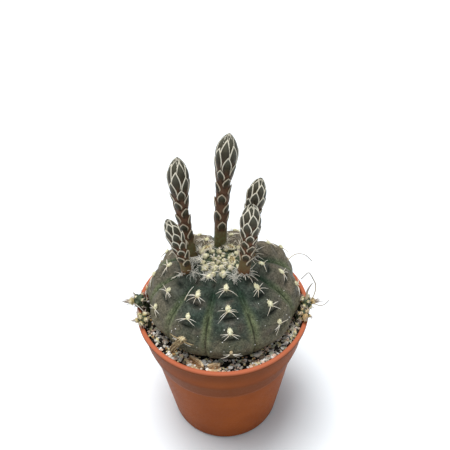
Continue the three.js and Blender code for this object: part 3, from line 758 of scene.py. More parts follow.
def bud_scale():
    """Dark olive scales with a thin pale margin that fades towards the foot of each."""
    finish = Finish("bud_scale", specular_ior_level=0.25)
    patch = finish.cloud(0.9, detail=4)
    margin = finish.times(finish.between("edge", 0.46, 0.14), finish.between("up", 0.1, 0.4),
                          finish.between("to_end", 0.2, 2, 0.5, 1))
    pale = finish.layers((234, 226, 205),
                         (finish.between("to_end", 6, 18, 0, 0.7), (200, 178, 148)))
    color = finish.layers(
        finish.ramp(patch, {0.3: (44, 38, 21), 0.55: (57, 50, 31), 0.75: (72, 64, 43)}),
        # Greyer towards each scale's tip: partly a glaucous bloom, partly a painted sheen.
        (finish.between("up", 0.4, 1, 0, 0.85), (100, 100, 86)),
        (finish.between("up", 0.45, 0, 0, 0.85), (88, 56, 36)),
        (finish.between("edge", 0.9, 0.3, 0, 0.6), (34, 27, 16)),
        (margin, pale))
    return finish.feed(color, finish.bump(finish.cloud(0.4), 0.05),
                       finish.between(patch, 0.3, 0.7, 0.4, 0.55))


def dried():
    finish = Finish("dried_plant", roughness=0.85, specular_ior_level=0.2)
    color = finish.layers(
        finish.ramp(finish.cloud(0.7, detail=5, roughness=0.65), {
            0.28: (98, 80, 56), 0.5: (152, 130, 94), 0.72: (216, 200, 162)}),
        # Painted shade: darker in the hollows of the folds.
        (finish.between("furrow", 0.25, 0.8, 0, 0.85), (84, 60, 36)))
    return finish.feed(color, finish.bump(finish.cloud(0.35), 0.15))


def bark():
    finish = Finish("bark_flake", roughness=0.75, specular_ior_level=0.35)
    streaks = finish.cloud(0.6, detail=5, roughness=0.6, stretch=(1, 3, 1))
    inside = finish.ramp(streaks, {0.4: (64, 38, 18), 0.6: (168, 112, 58)})
    # Outside its trough the flake is pale tan to cream, partly as a painted highlight; the trough
    # is darker orange, partly the bark's inner colour, partly painted shade.
    color = finish.layers(
        finish.ramp(streaks, {
            0.28: (160, 120, 76), 0.48: (216, 186, 142), 0.66: (246, 234, 212)}),
        (finish.between("hollow", 0.35, 0.75, 0, 0.85), inside))
    return finish.feed(color, finish.bump(streaks, 0.12))


def floor_paper():
    finish = Finish("pale_floor", roughness=0.9, specular_ior_level=0.1)
    return finish.feed(finish.ramp(finish.cloud(300, detail=2), {
        0.3: (243, 247, 250), 0.7: (246, 249, 252)}))


# The pot

def wall_radius(below):
    share = (below - STEP_BELOW) / (POT_HEIGHT - STEP_BELOW)
    return lerp(STEP_RADIUS, BASE_RADIUS, share)


def make_pot(material):
    top = POT_HEIGHT
    inner_floor = wall_radius(POT_HEIGHT - POT_FLOOR) - POT_WALL
    under_rim = lerp(RIM_RADIUS, COLLAR_RADIUS, RIM_END_BELOW / COLLAR_BELOW) - RIM_UNDERCUT
    outline = rounded([
        (FLOOR_MIDDLE, 0, 0),
        (BASE_RADIUS - FOOT_INSET, 0, 0.4),
        (BASE_RADIUS - FOOT_INSET + 0.2, FOOT_HEIGHT, 0.2),
        (BASE_RADIUS, FOOT_HEIGHT, BASE_ROUND),
        (STEP_RADIUS - 0.15, top - STEP_BELOW - 0.6, 0.5),
        (STEP_RADIUS + 0.35, top - STEP_BELOW + 0.7, 0.5),
        (COLLAR_RADIUS - 0.1, top - COLLAR_BELOW - 0.3, 1.0),
        (COLLAR_RADIUS, top - COLLAR_BELOW + 0.6, 0.6),
        (under_rim, top - RIM_END_BELOW - 0.2, 0.3),
        (RIM_RADIUS, top - RIM_END_BELOW + 0.1, 0.35),
        (RIM_RADIUS, top, RIM_ROUND),
        (RIM_RADIUS - RIM_THICKNESS, top, RIM_ROUND),
        (RIM_RADIUS - RIM_THICKNESS - 0.2, top - RIM_END_BELOW, 0.2),
        (COLLAR_RADIUS - POT_WALL, top - COLLAR_BELOW, 0.8),
        (STEP_RADIUS - POT_WALL, top - STEP_BELOW, 0.8),
        (inner_floor, POT_FLOOR, 0.8),
        (FLOOR_MIDDLE, POT_FLOOR, 0),
    ])
    pot = turned(outline, POT_SIDES)
    cutters = []
    for i in range(DRAIN_COUNT):
        azimuth = (i + 0.5) * 360 / DRAIN_COUNT
        cutters.append(added(
            bpy.ops.mesh.primitive_cylinder_add, vertices=24, radius=DRAIN_RADIUS,
            depth=4 * POT_FLOOR, location=at_azimuth(azimuth, DRAIN_RING)))
        cutters.append(added(
            bpy.ops.mesh.primitive_cube_add, size=1,
            location=at_azimuth(azimuth, DRAIN_RING + BASE_RADIUS / 2 - DRAIN_RADIUS),
            rotation=(0, 0, math.radians(azimuth)),
            scale=(BASE_RADIUS, DRAIN_GROOVE_WIDTH, 2 * DRAIN_GROOVE_DEPTH)))
    for cutter in cutters:
        apply_modifier(pot, "BOOLEAN", object=cutter, operation="DIFFERENCE")
    remove(*cutters)
    finish_piece(pot, "pot_shell", material, "pot", "pot", smooth=40)


# The soil

def hollow_radius(z):
    """The radius of the hollow that the body's lower arc sits in."""
    sine = clamp((z - EQUATOR_Z) / BODY_DROP, -math.sin(math.radians(UNDERSIDE_ANGLE)), 0)
    return BODY_RADIUS * math.sqrt(1 - sine ** 2) + 2 * GAP


def make_soil_bed(material):
    inset = POT_WALL + GAP
    under_z = EQUATOR_Z - BODY_DROP * math.sin(math.radians(UNDERSIDE_ANGLE))
    share = 1 - (POT_HEIGHT - SOIL_Z) / COLLAR_BELOW
    edge = lerp(COLLAR_RADIUS, RIM_RADIUS, share) - inset - 0.2
    lip = hollow_radius(SOIL_Z - 1.2)
    surface = [(lerp(edge, lip, i / 9), SOIL_Z - 0.3) for i in range(10)]
    bed = turned([
        (4, POT_FLOOR + 0.1),
        (wall_radius(POT_HEIGHT - POT_FLOOR) - inset - 0.6, POT_FLOOR + 0.1),
        (STEP_RADIUS - inset - 0.2, POT_HEIGHT - STEP_BELOW),
        (COLLAR_RADIUS - inset - 0.2, POT_HEIGHT - COLLAR_BELOW),
        *surface,
        (hollow_radius(SOIL_Z - 3), SOIL_Z - 3),
        (hollow_radius(under_z), under_z - GAP),
        (ROOT_RADIUS + GAP, ROOT_TOP_Z - 2 * GAP),
        (1, ROOT_TIP_Z - 2 * GAP),
    ], SOIL_SIDES)

    def crumbled(point):
        if point.z < SOIL_Z - 1:
            return point
        point.z += uneven(point, SOIL_CRUMBLE)
        return point

    move_vertices(bed, crumbled)
    finish_piece(bed, "soil_bed", material, "soil", "soil", smooth=50)


def grain(rng, squash):
    """An angular grain about 2 across: the hull of a few points."""
    piece = added(bpy.ops.mesh.primitive_ico_sphere_add, subdivisions=1, radius=1)
    stretch = Vector((1, rng.uniform(0.5, 1), squash))
    move_vertices(piece, lambda point: point * rng.uniform(0.6, 1.15) * stretch)
    edit(piece)
    bpy.ops.mesh.select_all(action="SELECT")
    bpy.ops.mesh.convex_hull()
    leave_edit()
    return piece


def body_edge(azimuth, z):
    """How far out the skin is at a height near the soil."""
    down = 27.0
    while skin_point(azimuth, down).z > z:
        down += 0.5
    point = skin_point(azimuth, down)
    return math.hypot(point.x, point.y)


def make_grit(material):
    rng = random.Random(5)
    shapes = [grain(rng, rng.uniform(0.5, 0.85)) for _ in range(8)]
    grains = []
    for i in range(GRAINS):
        front = i < FRONT_GRAINS * GRAINS
        azimuth = rng.uniform(*FRONT_ARC) if front else rng.uniform(0, 360)
        inner = body_edge(azimuth, SOIL_Z) + GRAINS_FROM_SKIN[0 if front else 1]
        size = lerp(*GRAIN_SIZES, rng.random() ** 1.4)
        size *= LARGE_GRAIN if rng.random() < LARGE_GRAINS else 1
        out = lerp(inner, GRAINS_END - size, rng.random() ** 0.8)
        heap = lerp(*HEAP_HEIGHTS, smoothstep(out, *HEAP_OUTS)) * (1 if front else HEAP_ELSEWHERE)
        level = SOIL_Z - 0.2 + heap * rng.random()
        turn = Quaternion((rng.random() - 0.5, rng.random() - 0.5, rng.random() - 0.5, 1))
        matrix = (Matrix.Translation(at_azimuth(azimuth, out, level))
                  @ turn.normalized().to_matrix().to_4x4() @ Matrix.Scale(size, 4))
        piece = copy_of(shapes[i % len(shapes)], matrix)
        creamy = CREAMY_ARC[0] < azimuth < CREAMY_ARC[1] and rng.random() < CREAMY_GRAINS
        mark(piece, "tint", CREAMY_TINT if creamy else rng.random())
        grains.append(piece)
    for i in range(SPECKS):
        azimuth = rng.uniform(*SPECK_ARC)
        point, _, normal = skin_frame(azimuth, rng.uniform(*SPECK_DOWNS))
        size = lerp(*SPECK_SIZES, rng.random() ** 2)
        piece = copy_of(shapes[i % len(shapes)],
                        Matrix.Translation(point + normal * 0.5 * size) @ Matrix.Scale(size, 4))
        mark(piece, "tint", 0.2 * rng.random())
        grains.append(piece)
    remove(*shapes)
    finish_piece(joined(grains), "mineral_grit", material, "soil", smooth=0)


def make_crumbs(material):
    rng = random.Random(8)
    shapes = [grain(rng, 0.7) for _ in range(5)]
    crumbs = []
    for i in range(CRUMBS):
        azimuth = rng.uniform(0, 360)
        inner = body_edge(azimuth, SOIL_Z) + CRUMBS_FROM_SKIN
        size = lerp(*CRUMB_SIZES, rng.random() ** 2)
        out = rng.uniform(inner, CRUMBS_END)
        matrix = (Matrix.Translation(at_azimuth(azimuth, out, SOIL_Z - 0.1 + 0.5 * rng.random()))
                  @ Matrix.Rotation(6.3 * rng.random(), 4, "Z")
                  @ Matrix.Diagonal((size, rng.uniform(0.3, 1) * size, size, 1)))
        crumbs.append(copy_of(shapes[i % len(shapes)], matrix))
    remove(*shapes)
    finish_piece(joined(crumbs), "peat_crumbs", material, "soil", smooth=0)


# The body

def body_outline():
    """The body's half outline from its apex to the tip of its root, in close steps."""
    upper = [math.radians(90 - step) for step in range(91)]
    lower = [math.radians(-step) for step in range(1, UNDERSIDE_ANGLE + 1)]
    points = [(BODY_RADIUS * math.cos(a), EQUATOR_Z + BODY_RISE * math.sin(a)) for a in upper]
    points += [(BODY_RADIUS * math.cos(a), EQUATOR_Z + BODY_DROP * math.sin(a)) for a in lower]
    return Line([*points, (ROOT_RADIUS, ROOT_TOP_Z), (0, ROOT_TIP_Z)])


OUTLINE = body_outline()


def groove_azimuth(index):
    return RIBS[index % len(RIBS)][0] + 360 * (index // len(RIBS))


def rib_at(azimuth):
    """The rib at an azimuth, and how far across it that is, from 0 at one groove to 1."""
    turned_to = groove_azimuth(0) + (azimuth - groove_azimuth(0)) % 360
    index = max(i for i, rib in enumerate(RIBS) if rib[0] <= turned_to)
    start = groove_azimuth(index)
    return index, (turned_to - start) / (groove_azimuth(index + 1) - start)


def crease_at(index, across, down):
    """How deep in the crease between two areoles a place is, and how far from the tubercle."""
    _, first, pitch, _, _ = RIBS[index]
    step = (down - first + TUBERCLE_ABOVE_AREOLE) / pitch
    offset = (step - round(step)) * pitch
    arch = max(0.0, math.sin(math.pi * across))
    between = pitch / 2 - abs(offset)
    return math.exp(-(between / CREASE_REACH) ** 2) * arch ** 2.2, offset


def groove_gap(azimuth, down):
    """The distance in millimetres from a place to the nearest groove."""
    index, across = rib_at(azimuth)
    width = groove_azimuth(index + 1) - groove_azimuth(index)
    point, _ = OUTLINE.at(down)
    return math.radians(min(across, 1 - across) * width) * point.x


def relief(azimuth, down):
    """How far the skin stands off the plain turned form."""
    index, across = rib_at(azimuth)
    swell = RIBS[index][3]
    fade = (smoothstep(down, GROOVE_START, GROOVE_FULL)
            * (1 - smoothstep(down, GROOVE_FADE_FROM, GROOVE_END)))
    low = smoothstep(down, GROOVE_FULL, GROOVE_LOW_FROM)
    arch = max(0.0, math.sin(math.pi * across))
    groove = lerp(GROOVE_DEPTH, GROOVE_LOW_DEPTH, low) * (1 - arch ** lerp(0.75, 0.3, low))
    crease, offset = crease_at(index, across, down)
    bump = TUBERCLE_HEIGHT * math.exp(-(offset / TUBERCLE_REACH) ** 2) * arch ** 1.5
    return fade * (bump + swell * arch - CREASE_DEPTH * crease - groove)


def skin_point(azimuth, down, lift=0.0):
    point, along = OUTLINE.at(down)
    dip = APEX_DIP * math.exp(-(point.x / APEX_DIP_RADIUS) ** 2)
    middle = Vector((BODY_X, BODY_Y, point.y - dip))
    if down <= 0:
        return middle + Vector((0, 0, lift))
    if down >= OUTLINE.length:
        return middle - Vector((0, 0, lift))
    off = relief(azimuth, down) + lift
    return middle + at_azimuth(azimuth, max(0.01, point.x - along.y * off), along.x * off)


def skin_frame(azimuth, down):
    """A place on the skin: its point, the direction downhill and the one outwards."""
    point = skin_point(azimuth, down)
    downhill = (skin_point(azimuth, down + 0.5) - point).normalized()
    beside = skin_point(azimuth + 1.5, down) - point
    return point, downhill, downhill.cross(beside).normalized()


# How far out the outline is at each of its points down to the equator
TOP_RADII = [point.x for point in OUTLINE.points[:91]]


def over_skin(point, least):
    """A point above the body's upper side, raised to at least this far over the skin."""
    out = math.hypot(point.x - BODY_X, point.y - BODY_Y)
    if out >= TOP_RADII[-1] or point.z < EQUATOR_Z:
        return point
    index = max(1, bisect.bisect_right(TOP_RADII, out))
    share = (out - TOP_RADII[index - 1]) / (TOP_RADII[index] - TOP_RADII[index - 1])
    down = lerp(OUTLINE.reached[index - 1], OUTLINE.reached[index], share)
    azimuth = math.degrees(math.atan2(point.y - BODY_Y, point.x - BODY_X))
    return Vector((point.x, point.y, max(point.z, skin_point(azimuth, down).z + least)))


SKIN_RINGS = ([i * 0.9 for i in range(12)] + [10.5 + i * 0.29 for i in range(94)]
              + [37.7 + 2.2 * i for i in range(6)])


def make_skin(material):
    rings = [*SKIN_RINGS, OUTLINE.length]

    def place(azimuth, ring):
        down = rings[ring]
        rough = smoothstep(down, 6, 12) * (1 - smoothstep(down, 36, 38))
        point = skin_point(azimuth, down)
        near_line = math.exp(-(groove_gap(azimuth, down) / GROOVE_LINE_WIDTH) ** 2)
        line = GROOVE_LINE_DEPTH * near_line * smoothstep(down, 12, 18)
        in_fold = crease_at(*rib_at(azimuth), down)[0] ** 3
        fold = CREASE_FOLD_DEPTH * in_fold * (1 - smoothstep(down, 26, 30))
        return skin_point(azimuth, down, rough * (uneven(point, SKIN_WRINKLES) - line - fold))

    piece, spots = ring_mesh(360, len(rings) - 1, place)
    rows = []
    for azimuth, ring in spots:
        down = rings[ring]
        index, share = rib_at(azimuth)
        near = index if share < 0.5 else (index + 1) % len(RIBS)
        fade = smoothstep(down, 9, 13)
        # How deep in its crease each place is, for the painted shade there.
        crease = 0.95 * crease_at(index, share, down)[0] ** 1.7 * fade
        rows.append((lerp(1, math.sin(math.pi * share), fade),
                     groove_gap(azimuth, down) + 3 * (1 - smoothstep(down, 14, 20)),
                     down, crease * (1 - smoothstep(down, 26, 30)), RIBS[near][4]))
    names = ("across", "groove_gap", "down", "crease", "green")
    for name, values in zip(names, zip(*rows)):
        mark(piece, name, list(values))
    finish_piece(piece, "cactus_skin", material, "skin", "cactus_body")


# Wool and spines

def any_way(rng, lowest=-1.0):
    """A random direction, no lower than a share of straight down."""
    z = rng.uniform(lowest, 1)
    return at_azimuth(360 * rng.random(), math.sqrt(1 - z * z), z)


def curling_hair(rng, point, heading, ends, steps, pull=Vector()):
    """A short hair that curls at random, pulled a little one way."""
    line = []
    for step in range(5):
        line.append((point, lerp(*ends, step / 4)))
        heading = (heading + any_way(rng) * 0.5 + pull).normalized()
        point = point + heading * rng.uniform(*steps)
    return line


def tapered(route, steps, foot, tip):
    """A hair along a route, with its thickness at the foot and at the tip."""
    return [(point_on(route, i / steps), lerp(foot, tip, i / steps)) for i in range(steps + 1)]


def woolly_pad(rng, hairs=75):
    """A cushion of matted curling hairs round a lumpy core, about 2 across, facing +Z."""
    core = added(bpy.ops.mesh.primitive_ico_sphere_add, subdivisions=3, radius=1)
    away = 30 * any_way(rng)
    move_vertices(core, lambda p: p * (0.78 + 0.3 * noise(p * 1.4 + away)
                                       + 0.2 * noise(p * 3.4 + away)))
    lines = []
    for _ in range(hairs):
        out = any_way(rng, -0.2)
        heading = (out * 0.7 + any_way(rng)).normalized()
        lines.append(curling_hair(rng, out * rng.uniform(0.55, 0.75), heading, (0.075, 0.022),
                                  (0.1, 0.19)))
    pad = joined([core, strands(lines)])
    # How low on its sides each vertex is, for the painted shade there.
    mark(pad, "low", [smoothstep(vertex.co.z, 0.7, -0.1) for vertex in pad.data.vertices])
    return pad


def placed_pad(shape, place, sizes, patches_and_shade, age=None):
    """A copy of a woolly pad, stretched to its half sizes and set in its place."""
    pad = copy_of(shape, place @ Matrix.Diagonal((*sizes, 1)))
    mark(pad, "patches_and_shade", patches_and_shade)
    if age is not None:
        mark(pad, "age", age)
    return pad


def narrowed(pad):
    """Draws in the uphill end of a rib's pad."""
    move_vertices(pad, lambda p: Vector((p.x * lerp(0.76, 1, smoothstep(p.y, -1.2, 0)), p.y, p.z)))
    return pad


def spine_line(rng, root, flat, normal, length, thickness, rise, curl=Vector()):
    """A spine that leaves an areole, rises a little and bends back to the skin."""
    sideways = flat.cross(normal) * (rng.random() - 0.5) * 0.25 * length
    line = []
    for step in range(6):
        t = step / 5
        point = (root + flat * length * t + (sideways + curl) * t * t
                 + normal * rise * (1.9 * t - 1.7 * t * t))
        line.append((over_skin(point, thickness), lerp(thickness, SPINE_TIP, t ** 1.3)))
    return line


def areole_spots():
    """The azimuth of each areole of the ribs, and how far down it is."""
    spots = []
    for i, (_, first, pitch, _, _) in enumerate(RIBS):
        crest = (groove_azimuth(i) + groove_azimuth(i + 1)) / 2
        down = first
        while skin_point(crest, down).z > LOWEST_AREOLE_Z:
            spots.append((crest, down))
            down += pitch
    return spots


def make_areoles(wool_material, spine_material):
    rng = random.Random(21)
    shapes = [narrowed(woolly_pad(rng)) for _ in range(5)]
    pads, lines = [], []
    for count, (azimuth, down) in enumerate(areole_spots()):
        point, downhill, normal = skin_frame(azimuth, down)
        age = smoothstep(down, 24, 32)
        size = rng.uniform(*AREOLE_SIZES) * lerp(1, OLD_AREOLE_SIZE, age)
        sizes = (AREOLE_WIDTH * size, lerp(*AREOLE_LENGTHS, age) * size, AREOLE_HEIGHT * size)
        lean = turned_about(downhill, normal, 24 * (rng.random() - 0.5))
        place = standing_on(point + normal * 0.1 - downhill * 0.15, normal, lean)
        pads.append(placed_pad(shapes[count % len(shapes)], place, sizes, 0.3, 0.7 * age))
        for turn, share, often in SPIDER:
            if rng.random() > often:
                continue
            flat = turned_about(downhill, normal, turn + 22 * (rng.random() - 0.5))
            root = point + flat * 0.3 + downhill * 0.55 + normal * 0.3
            length = share * rng.uniform(*SPIDER_LENGTHS)
            length *= LONG_SPINE if rng.random() < LONG_SPINES else 1
            curl = downhill * rng.uniform(0.3, 1.0) * share
            lines.append(spine_line(rng, root, flat, normal, length, SPIDER_THICKNESS, SPIDER_RISE,
                                    curl))
    remove(*shapes)
    finish_piece(joined(pads), "rib_areoles", wool_material, "wool")
    finish_piece(strands(lines), "rib_spines", spine_material, "wool")
    shed = [[(over_skin(point, 0.12), thickness)
             for point, thickness in tapered(route, 8, *SHED_SPINE_THICKNESSES)]
            for route in SHED_SPINES]
    finish_piece(strands(shed), "shed_spines", spine_material, "wool")


# The crown of young growth

# Its closed areoles: distance from the middle, azimuth and size. The open ones, each a woolly ring
# round the tip of a young bud, have a half width and a half length instead.
CROWN_AREOLES = [
    (2.9, 110, 1.05), (5.3, 170, 1.3), (6.3, -144, 1.35), (4.8, -118, 1.2), (4.1, -94, 1.0),
    (6.6, -89, 1.25), (2.5, -172, 0.85), (1.2, -70, 0.85), (2.2, -124, 0.9), (3.9, -140, 0.9),
    (2.8, -70, 0.9), (1.1, 80, 0.8), (4.9, 24, 1.1), (7.0, 44, 1.0), (7.3, 150, 1.0),
    (4.3, 137, 1.0), (4.8, -62, 1.0), (5.9, -38, 0.9), (0.9, 180, 0.75), (3.6, 72, 0.8),
    (6.0, -166, 0.9), (7.0, -113, 0.9),
]
OPEN_AREOLES = [(7.4, 129, 1.7, 2.0), (5.3, 63, 1.6, 1.9), (2.9, -17, 1.1, 2.1)]
CROWN_RADIUS = 8.2
CROWN_RISE = 0.6
CROWN_TUBERCLE = 0.5
CROWN_SPINES = 8
CROWN_SPINE_LENGTHS = (1.0, 2.6)
CROWN_SPINE_RISE = 1.3
CROWN_SPINE_THICKNESS = 0.09
OPEN_AREOLE_SPINES = 7
OPEN_AREOLE_SPINE_LENGTHS = (0.9, 2.0)
OPEN_AREOLE_SPINE_RISE = 1.2
RING_RADIUS = 0.78
RING_THICKNESS = 0.2
RING_HAIRS = 72
# The loose white wool: distance from the middle, azimuth, spread and number of hairs of each patch
FLUFF_PATCHES = [
    (8.4, 175, 1.9, 64), (7.2, -125, 1.4, 60), (7.7, -62, 0.9, 40), (9.2, 150, 1.6, 24),
    (10.0, -152, 0.8, 36),
]


def crown_height(azimuth, out):
    """The height of the crown's flesh: a low dome with a small tubercle under each areole."""
    dome = CROWN_RISE * max(0.0, 1 - (out / CROWN_RADIUS) ** 2)
    here = at_azimuth(azimuth, out)
    bump = max(math.exp(-((here - at_azimuth(turn, middle)).length / 0.95) ** 2)
               for middle, turn, *_ in CROWN_AREOLES + OPEN_AREOLES)
    fade = smoothstep(out, CROWN_RADIUS, CROWN_RADIUS - 1.5)
    return skin_point(azimuth, out).z + dome + CROWN_TUBERCLE * bump * fade


def on_crown(out, turn, lift=0.1):
    """A place on the crown's flesh, and the direction it faces."""
    point = Vector((BODY_X, BODY_Y, 0)) + at_azimuth(turn, out, crown_height(turn, out) + lift)
    return point, (Vector((0, 0, 1)) + at_azimuth(turn, 0.07 * out)).normalized()


def make_crown_flesh(material):
    top_rings = 34
    all_rings = 44

    def place(azimuth, ring):
        if ring <= top_rings:
            out = CROWN_RADIUS * ring / top_rings
            z = crown_height(azimuth, out) - 0.5 * smoothstep(out, 7, CROWN_RADIUS)
        else:
            out = CROWN_RADIUS * (all_rings - ring) / (all_rings - top_rings)
            z = skin_point(azimuth, out).z - 1.0
        return Vector((BODY_X, BODY_Y, 0)) + at_azimuth(azimuth, out, z)

    flesh, spots = ring_mesh(120, all_rings, place)
    mark(flesh, "out", [CROWN_RADIUS * min(1, ring / top_rings) for _, ring in spots])
    finish_piece(flesh, "crown_flesh", material, "skin", "crown_wool")


def make_crown(wool_material, spine_material, fluff_material, tip_material):
    rng = random.Random(34)
    full = [woolly_pad(rng, hairs=100) for _ in range(3)]
    opened = open_pad(rng)
    tip = young_bud_tip()
    pads, tips, lines, fluff = [], [], [], []
    for count, (out, turn, size) in enumerate(CROWN_AREOLES):
        outward = at_azimuth(turn, 1)
        point, normal = on_crown(out, turn)
        sizes = (0.85 * size, size, 0.7 * size)
        pads.append(placed_pad(full[count % len(full)], standing_on(point, normal, outward), sizes,
                               rng.uniform(0.35, 0.9)))
        for _ in range(CROWN_SPINES):
            flat = turned_about(outward, normal, 240 * (rng.random() - 0.5))
            length = rng.uniform(*CROWN_SPINE_LENGTHS) * smoothstep(out, -2, 5)
            lines.append(spine_line(rng, point + normal * 0.3, flat, normal, length,
                                    CROWN_SPINE_THICKNESS, CROWN_SPINE_RISE))
    for out, turn, half_width, half_length in OPEN_AREOLES:
        point, normal = on_crown(out, turn)
        sizes = (half_width, half_length, 0.3 * (half_width + half_length))
        place = standing_on(point, normal, Vector((0, 1, 0)))
        pads.append(placed_pad(opened, place, sizes, 0.8))
        tips.append(copy_of(tip, place @ Matrix.Diagonal((*sizes, 1))))
        for _ in range(OPEN_AREOLE_SPINES):
            flat = at_azimuth(360 * rng.random(), 1)
            root = point + normal * 0.4 + flat * 0.9 * half_width
            length = rng.uniform(*OPEN_AREOLE_SPINE_LENGTHS)
            lines.append(spine_line(rng, root, flat, normal, length, CROWN_SPINE_THICKNESS,
                                    OPEN_AREOLE_SPINE_RISE))
    for out, turn, spread, count in FLUFF_PATCHES:
        fluff += [fluff_line(out, turn, spread, rng) for _ in range(count)]
    remove(*full, opened, tip)
    finish_piece(joined(pads), "crown_areoles", wool_material, "wool")
    finish_piece(joined(tips), "young_bud_tips", tip_material, "bud")
    finish_piece(strands(lines), "crown_spines", spine_material, "wool")
    finish_piece(strands(fluff), "crown_fluff", fluff_material, "wool")


def open_pad(rng):
    """An areole that has opened into a woolly ring, about 2 across."""
    ring = added(bpy.ops.mesh.primitive_torus_add, major_segments=30, minor_segments=10,
                 major_radius=RING_RADIUS, minor_radius=RING_THICKNESS)
    away = 30 * any_way(rng)
    move_vertices(ring, lambda p: p * (1 + 0.4 * noise(p * 2.2 + away)))
    lines = []
    for i in range(RING_HAIRS):
        out = at_azimuth(360 * i / RING_HAIRS + 9 * rng.random(), 1)
        point = out * rng.uniform(0.72, 0.95) + Vector((0, 0, 0.12))
        heading = (out * rng.uniform(0.3, 1.2) + Vector((0, 0, 0.6))).normalized()
        lines.append(curling_hair(rng, point, heading, (0.06, 0.018), (0.08, 0.16), out * 0.2))
    opened = joined([ring, strands(lines)])
    mark(opened, "age", [0.9 * smoothstep(vertex.co.xy.length, 0.74, 0.6)
                         for vertex in opened.data.vertices])
    return opened


def young_bud_tip():
    """The pointed, folded tip of a bud that is still in its areole."""
    tip = added(bpy.ops.mesh.primitive_ico_sphere_add, subdivisions=3, radius=1)
    folds = []

    def folded(point):
        azimuth = math.atan2(point.y, point.x)
        folds.append(0.5 + 0.5 * math.cos(7 * azimuth + 2.5 * point.z))
        wide = 0.5 * (1 - 0.5 * smoothstep(point.z, 0.1, 1.0)) * (1 - 0.14 * (1 - folds[-1]))
        return Vector((wide * point.x, wide * point.y, 0.15 + 0.68 * point.z))

    move_vertices(tip, folded)
    # Low in the creases between the folds, for the painted shade there.
    mark(tip, "fold", folds)
    return tip


def fluff_line(out, turn, spread, rng):
    """One fine white hair of a loose tuft, lying close above the skin."""
    way = at_azimuth(turn, out) + at_azimuth(360 * rng.random(), spread * rng.random() ** 0.5)
    heading = at_azimuth(360 * rng.random(), 1)
    height = rng.uniform(0.15, 0.8)
    line = []
    for step in range(7):
        azimuth = math.degrees(math.atan2(way.y, way.x))
        surface = skin_point(azimuth, max(way.length, 0.5), 0.1)
        lift = height * math.sin(math.pi * (step + 0.5) / 7) + 0.08 * rng.random()
        line.append((surface + Vector((0, 0, lift)), 0.04 if step < 6 else 0.02))
        heading = (heading + at_azimuth(360 * rng.random(), 0.35)).normalized()
        way = way + heading * rng.uniform(0.25, 0.45)
    return line


# The buds

SCALE_COLUMNS = 8
SCALE_ROWS = 9
SCALE_THICKNESS = 0.15
# How far a scale stands off and how far it bulges, down the tube and on the head
SCALE_STANDS = (0.42, 0.55)
SCALE_BULGES = (0.16, 0.06)
UNDER_HEAD_SCALES = 0.45
TUBE_FOOT = -1.3
INNERMOST_SCALE_FOOT = 4.4
CLOSING_TIPS = 1.2
# The spines that spread from under a bud, by their turns from downhill, and its hairs of wool, with
# the thickness of a hair at its foot, middle and tip
SEAT_SPINES = (-98, -70, -46, -22, 4, 30, 52, 76, 100)
SEAT_SPINE_LENGTHS = (2.4, 4.0)
SEAT_SPINE_THICKNESS = 0.12
SEAT_SPINE_RISE = 0.9
SEAT_HAIRS = 76
SEAT_HAIR_THICKNESSES = (0.065, 0.055, 0.03)


def bud_line(bud):
    point, _, _ = skin_frame(bud["azimuth"], bud["down"])
    tip = Vector(bud["tip"])
    knee = point.lerp(tip, 0.5) + Vector((2 * bud["bow"], 0, 0))
    steps = 80
    return Line([point * (1 - i / steps) ** 2 + knee * 2 * (i / steps) * (1 - i / steps)
                 + tip * (i / steps) ** 2 for i in range(steps + 1)])


def bud_radius(bud, below_tip):
    closing = (1 - (1 - clamp(below_tip / HEAD_WIDEST)) ** 2) ** HEAD_POINT
    return lerp(bud["head"], bud["stem"], smoothstep(below_tip, HEAD_WIDEST, HEAD_END)) * closing


def on_bud(bud, line, distance, turn, lift):
    """A place on a bud, by the distance from its foot, the turn about its line, and the lift over
    its tube."""
    middle, up = line.at(distance)
    outward = (Vector((1, 0, 0)) - up * up.x).normalized()
    below_tip = max(0.0, line.length - distance)
    under = UNDER_HEAD_SCALES * smoothstep(below_tip, HEAD_END, HEAD_WIDEST)
    radius = bud_radius(bud, below_tip) - under + lift
    return middle + turned_about(outward, up, turn) * max(0.0, radius)


def make_tube(bud, line):
    rings = 60

    def place(azimuth, ring):
        if ring == 0:
            return line.at(line.length - 0.6)[0]
        distance = lerp(line.length - 0.8, TUBE_FOOT, (ring - 1) / (rings - 2))
        if ring == rings:
            return line.at(TUBE_FOOT - 0.3)[0]
        return on_bud(bud, line, distance, azimuth, 0)

    tube, spots = ring_mesh(28, rings, place)
    mark(tube, "along", [lerp(line.length, TUBE_FOOT, ring / rings) for _, ring in spots])
    mark(tube, "to_end", [lerp(0, line.length, ring / rings) for _, ring in spots])
    mark(tube, "ruddy", bud["ruddy"])
    return tube


def scale_width(up):
    """A scale's outline: its share of the full half width at a share of its length."""
    if up < 0.38:
        return lerp(0.66, 1, smoothstep(up, 0, 0.38))
    return max(0.0, 1 - ((up - 0.38) / 0.62) ** 1.9)


def bend_scale(scale, bud, line, foot, turn, length, half, stand, bulge):
    edges, ups, ends = [], [], []

    def place(point):
        side, up = point.x, (point.y + 1) / 2
        width = half * scale_width(up)
        distance = foot + up * length
        margin = stand * up ** 1.1 + 0.02
        crown = bulge * half * max(0.0, math.sin(math.pi * up)) ** 0.7
        lift = margin + crown * (1 - side * side)
        radius = max(0.5, bud_radius(bud, line.length - distance))
        edges.append(min((1 - abs(side)) * width, 0.75 * (1 - up) * length))
        ups.append(up)
        ends.append(line.length - distance)
        return on_bud(bud, line, distance, turn + math.degrees(side * width / radius), lift)

    move_vertices(scale, place)
    mark(scale, "edge", edges)
    mark(scale, "up", ups)
    mark(scale, "to_end", ends)


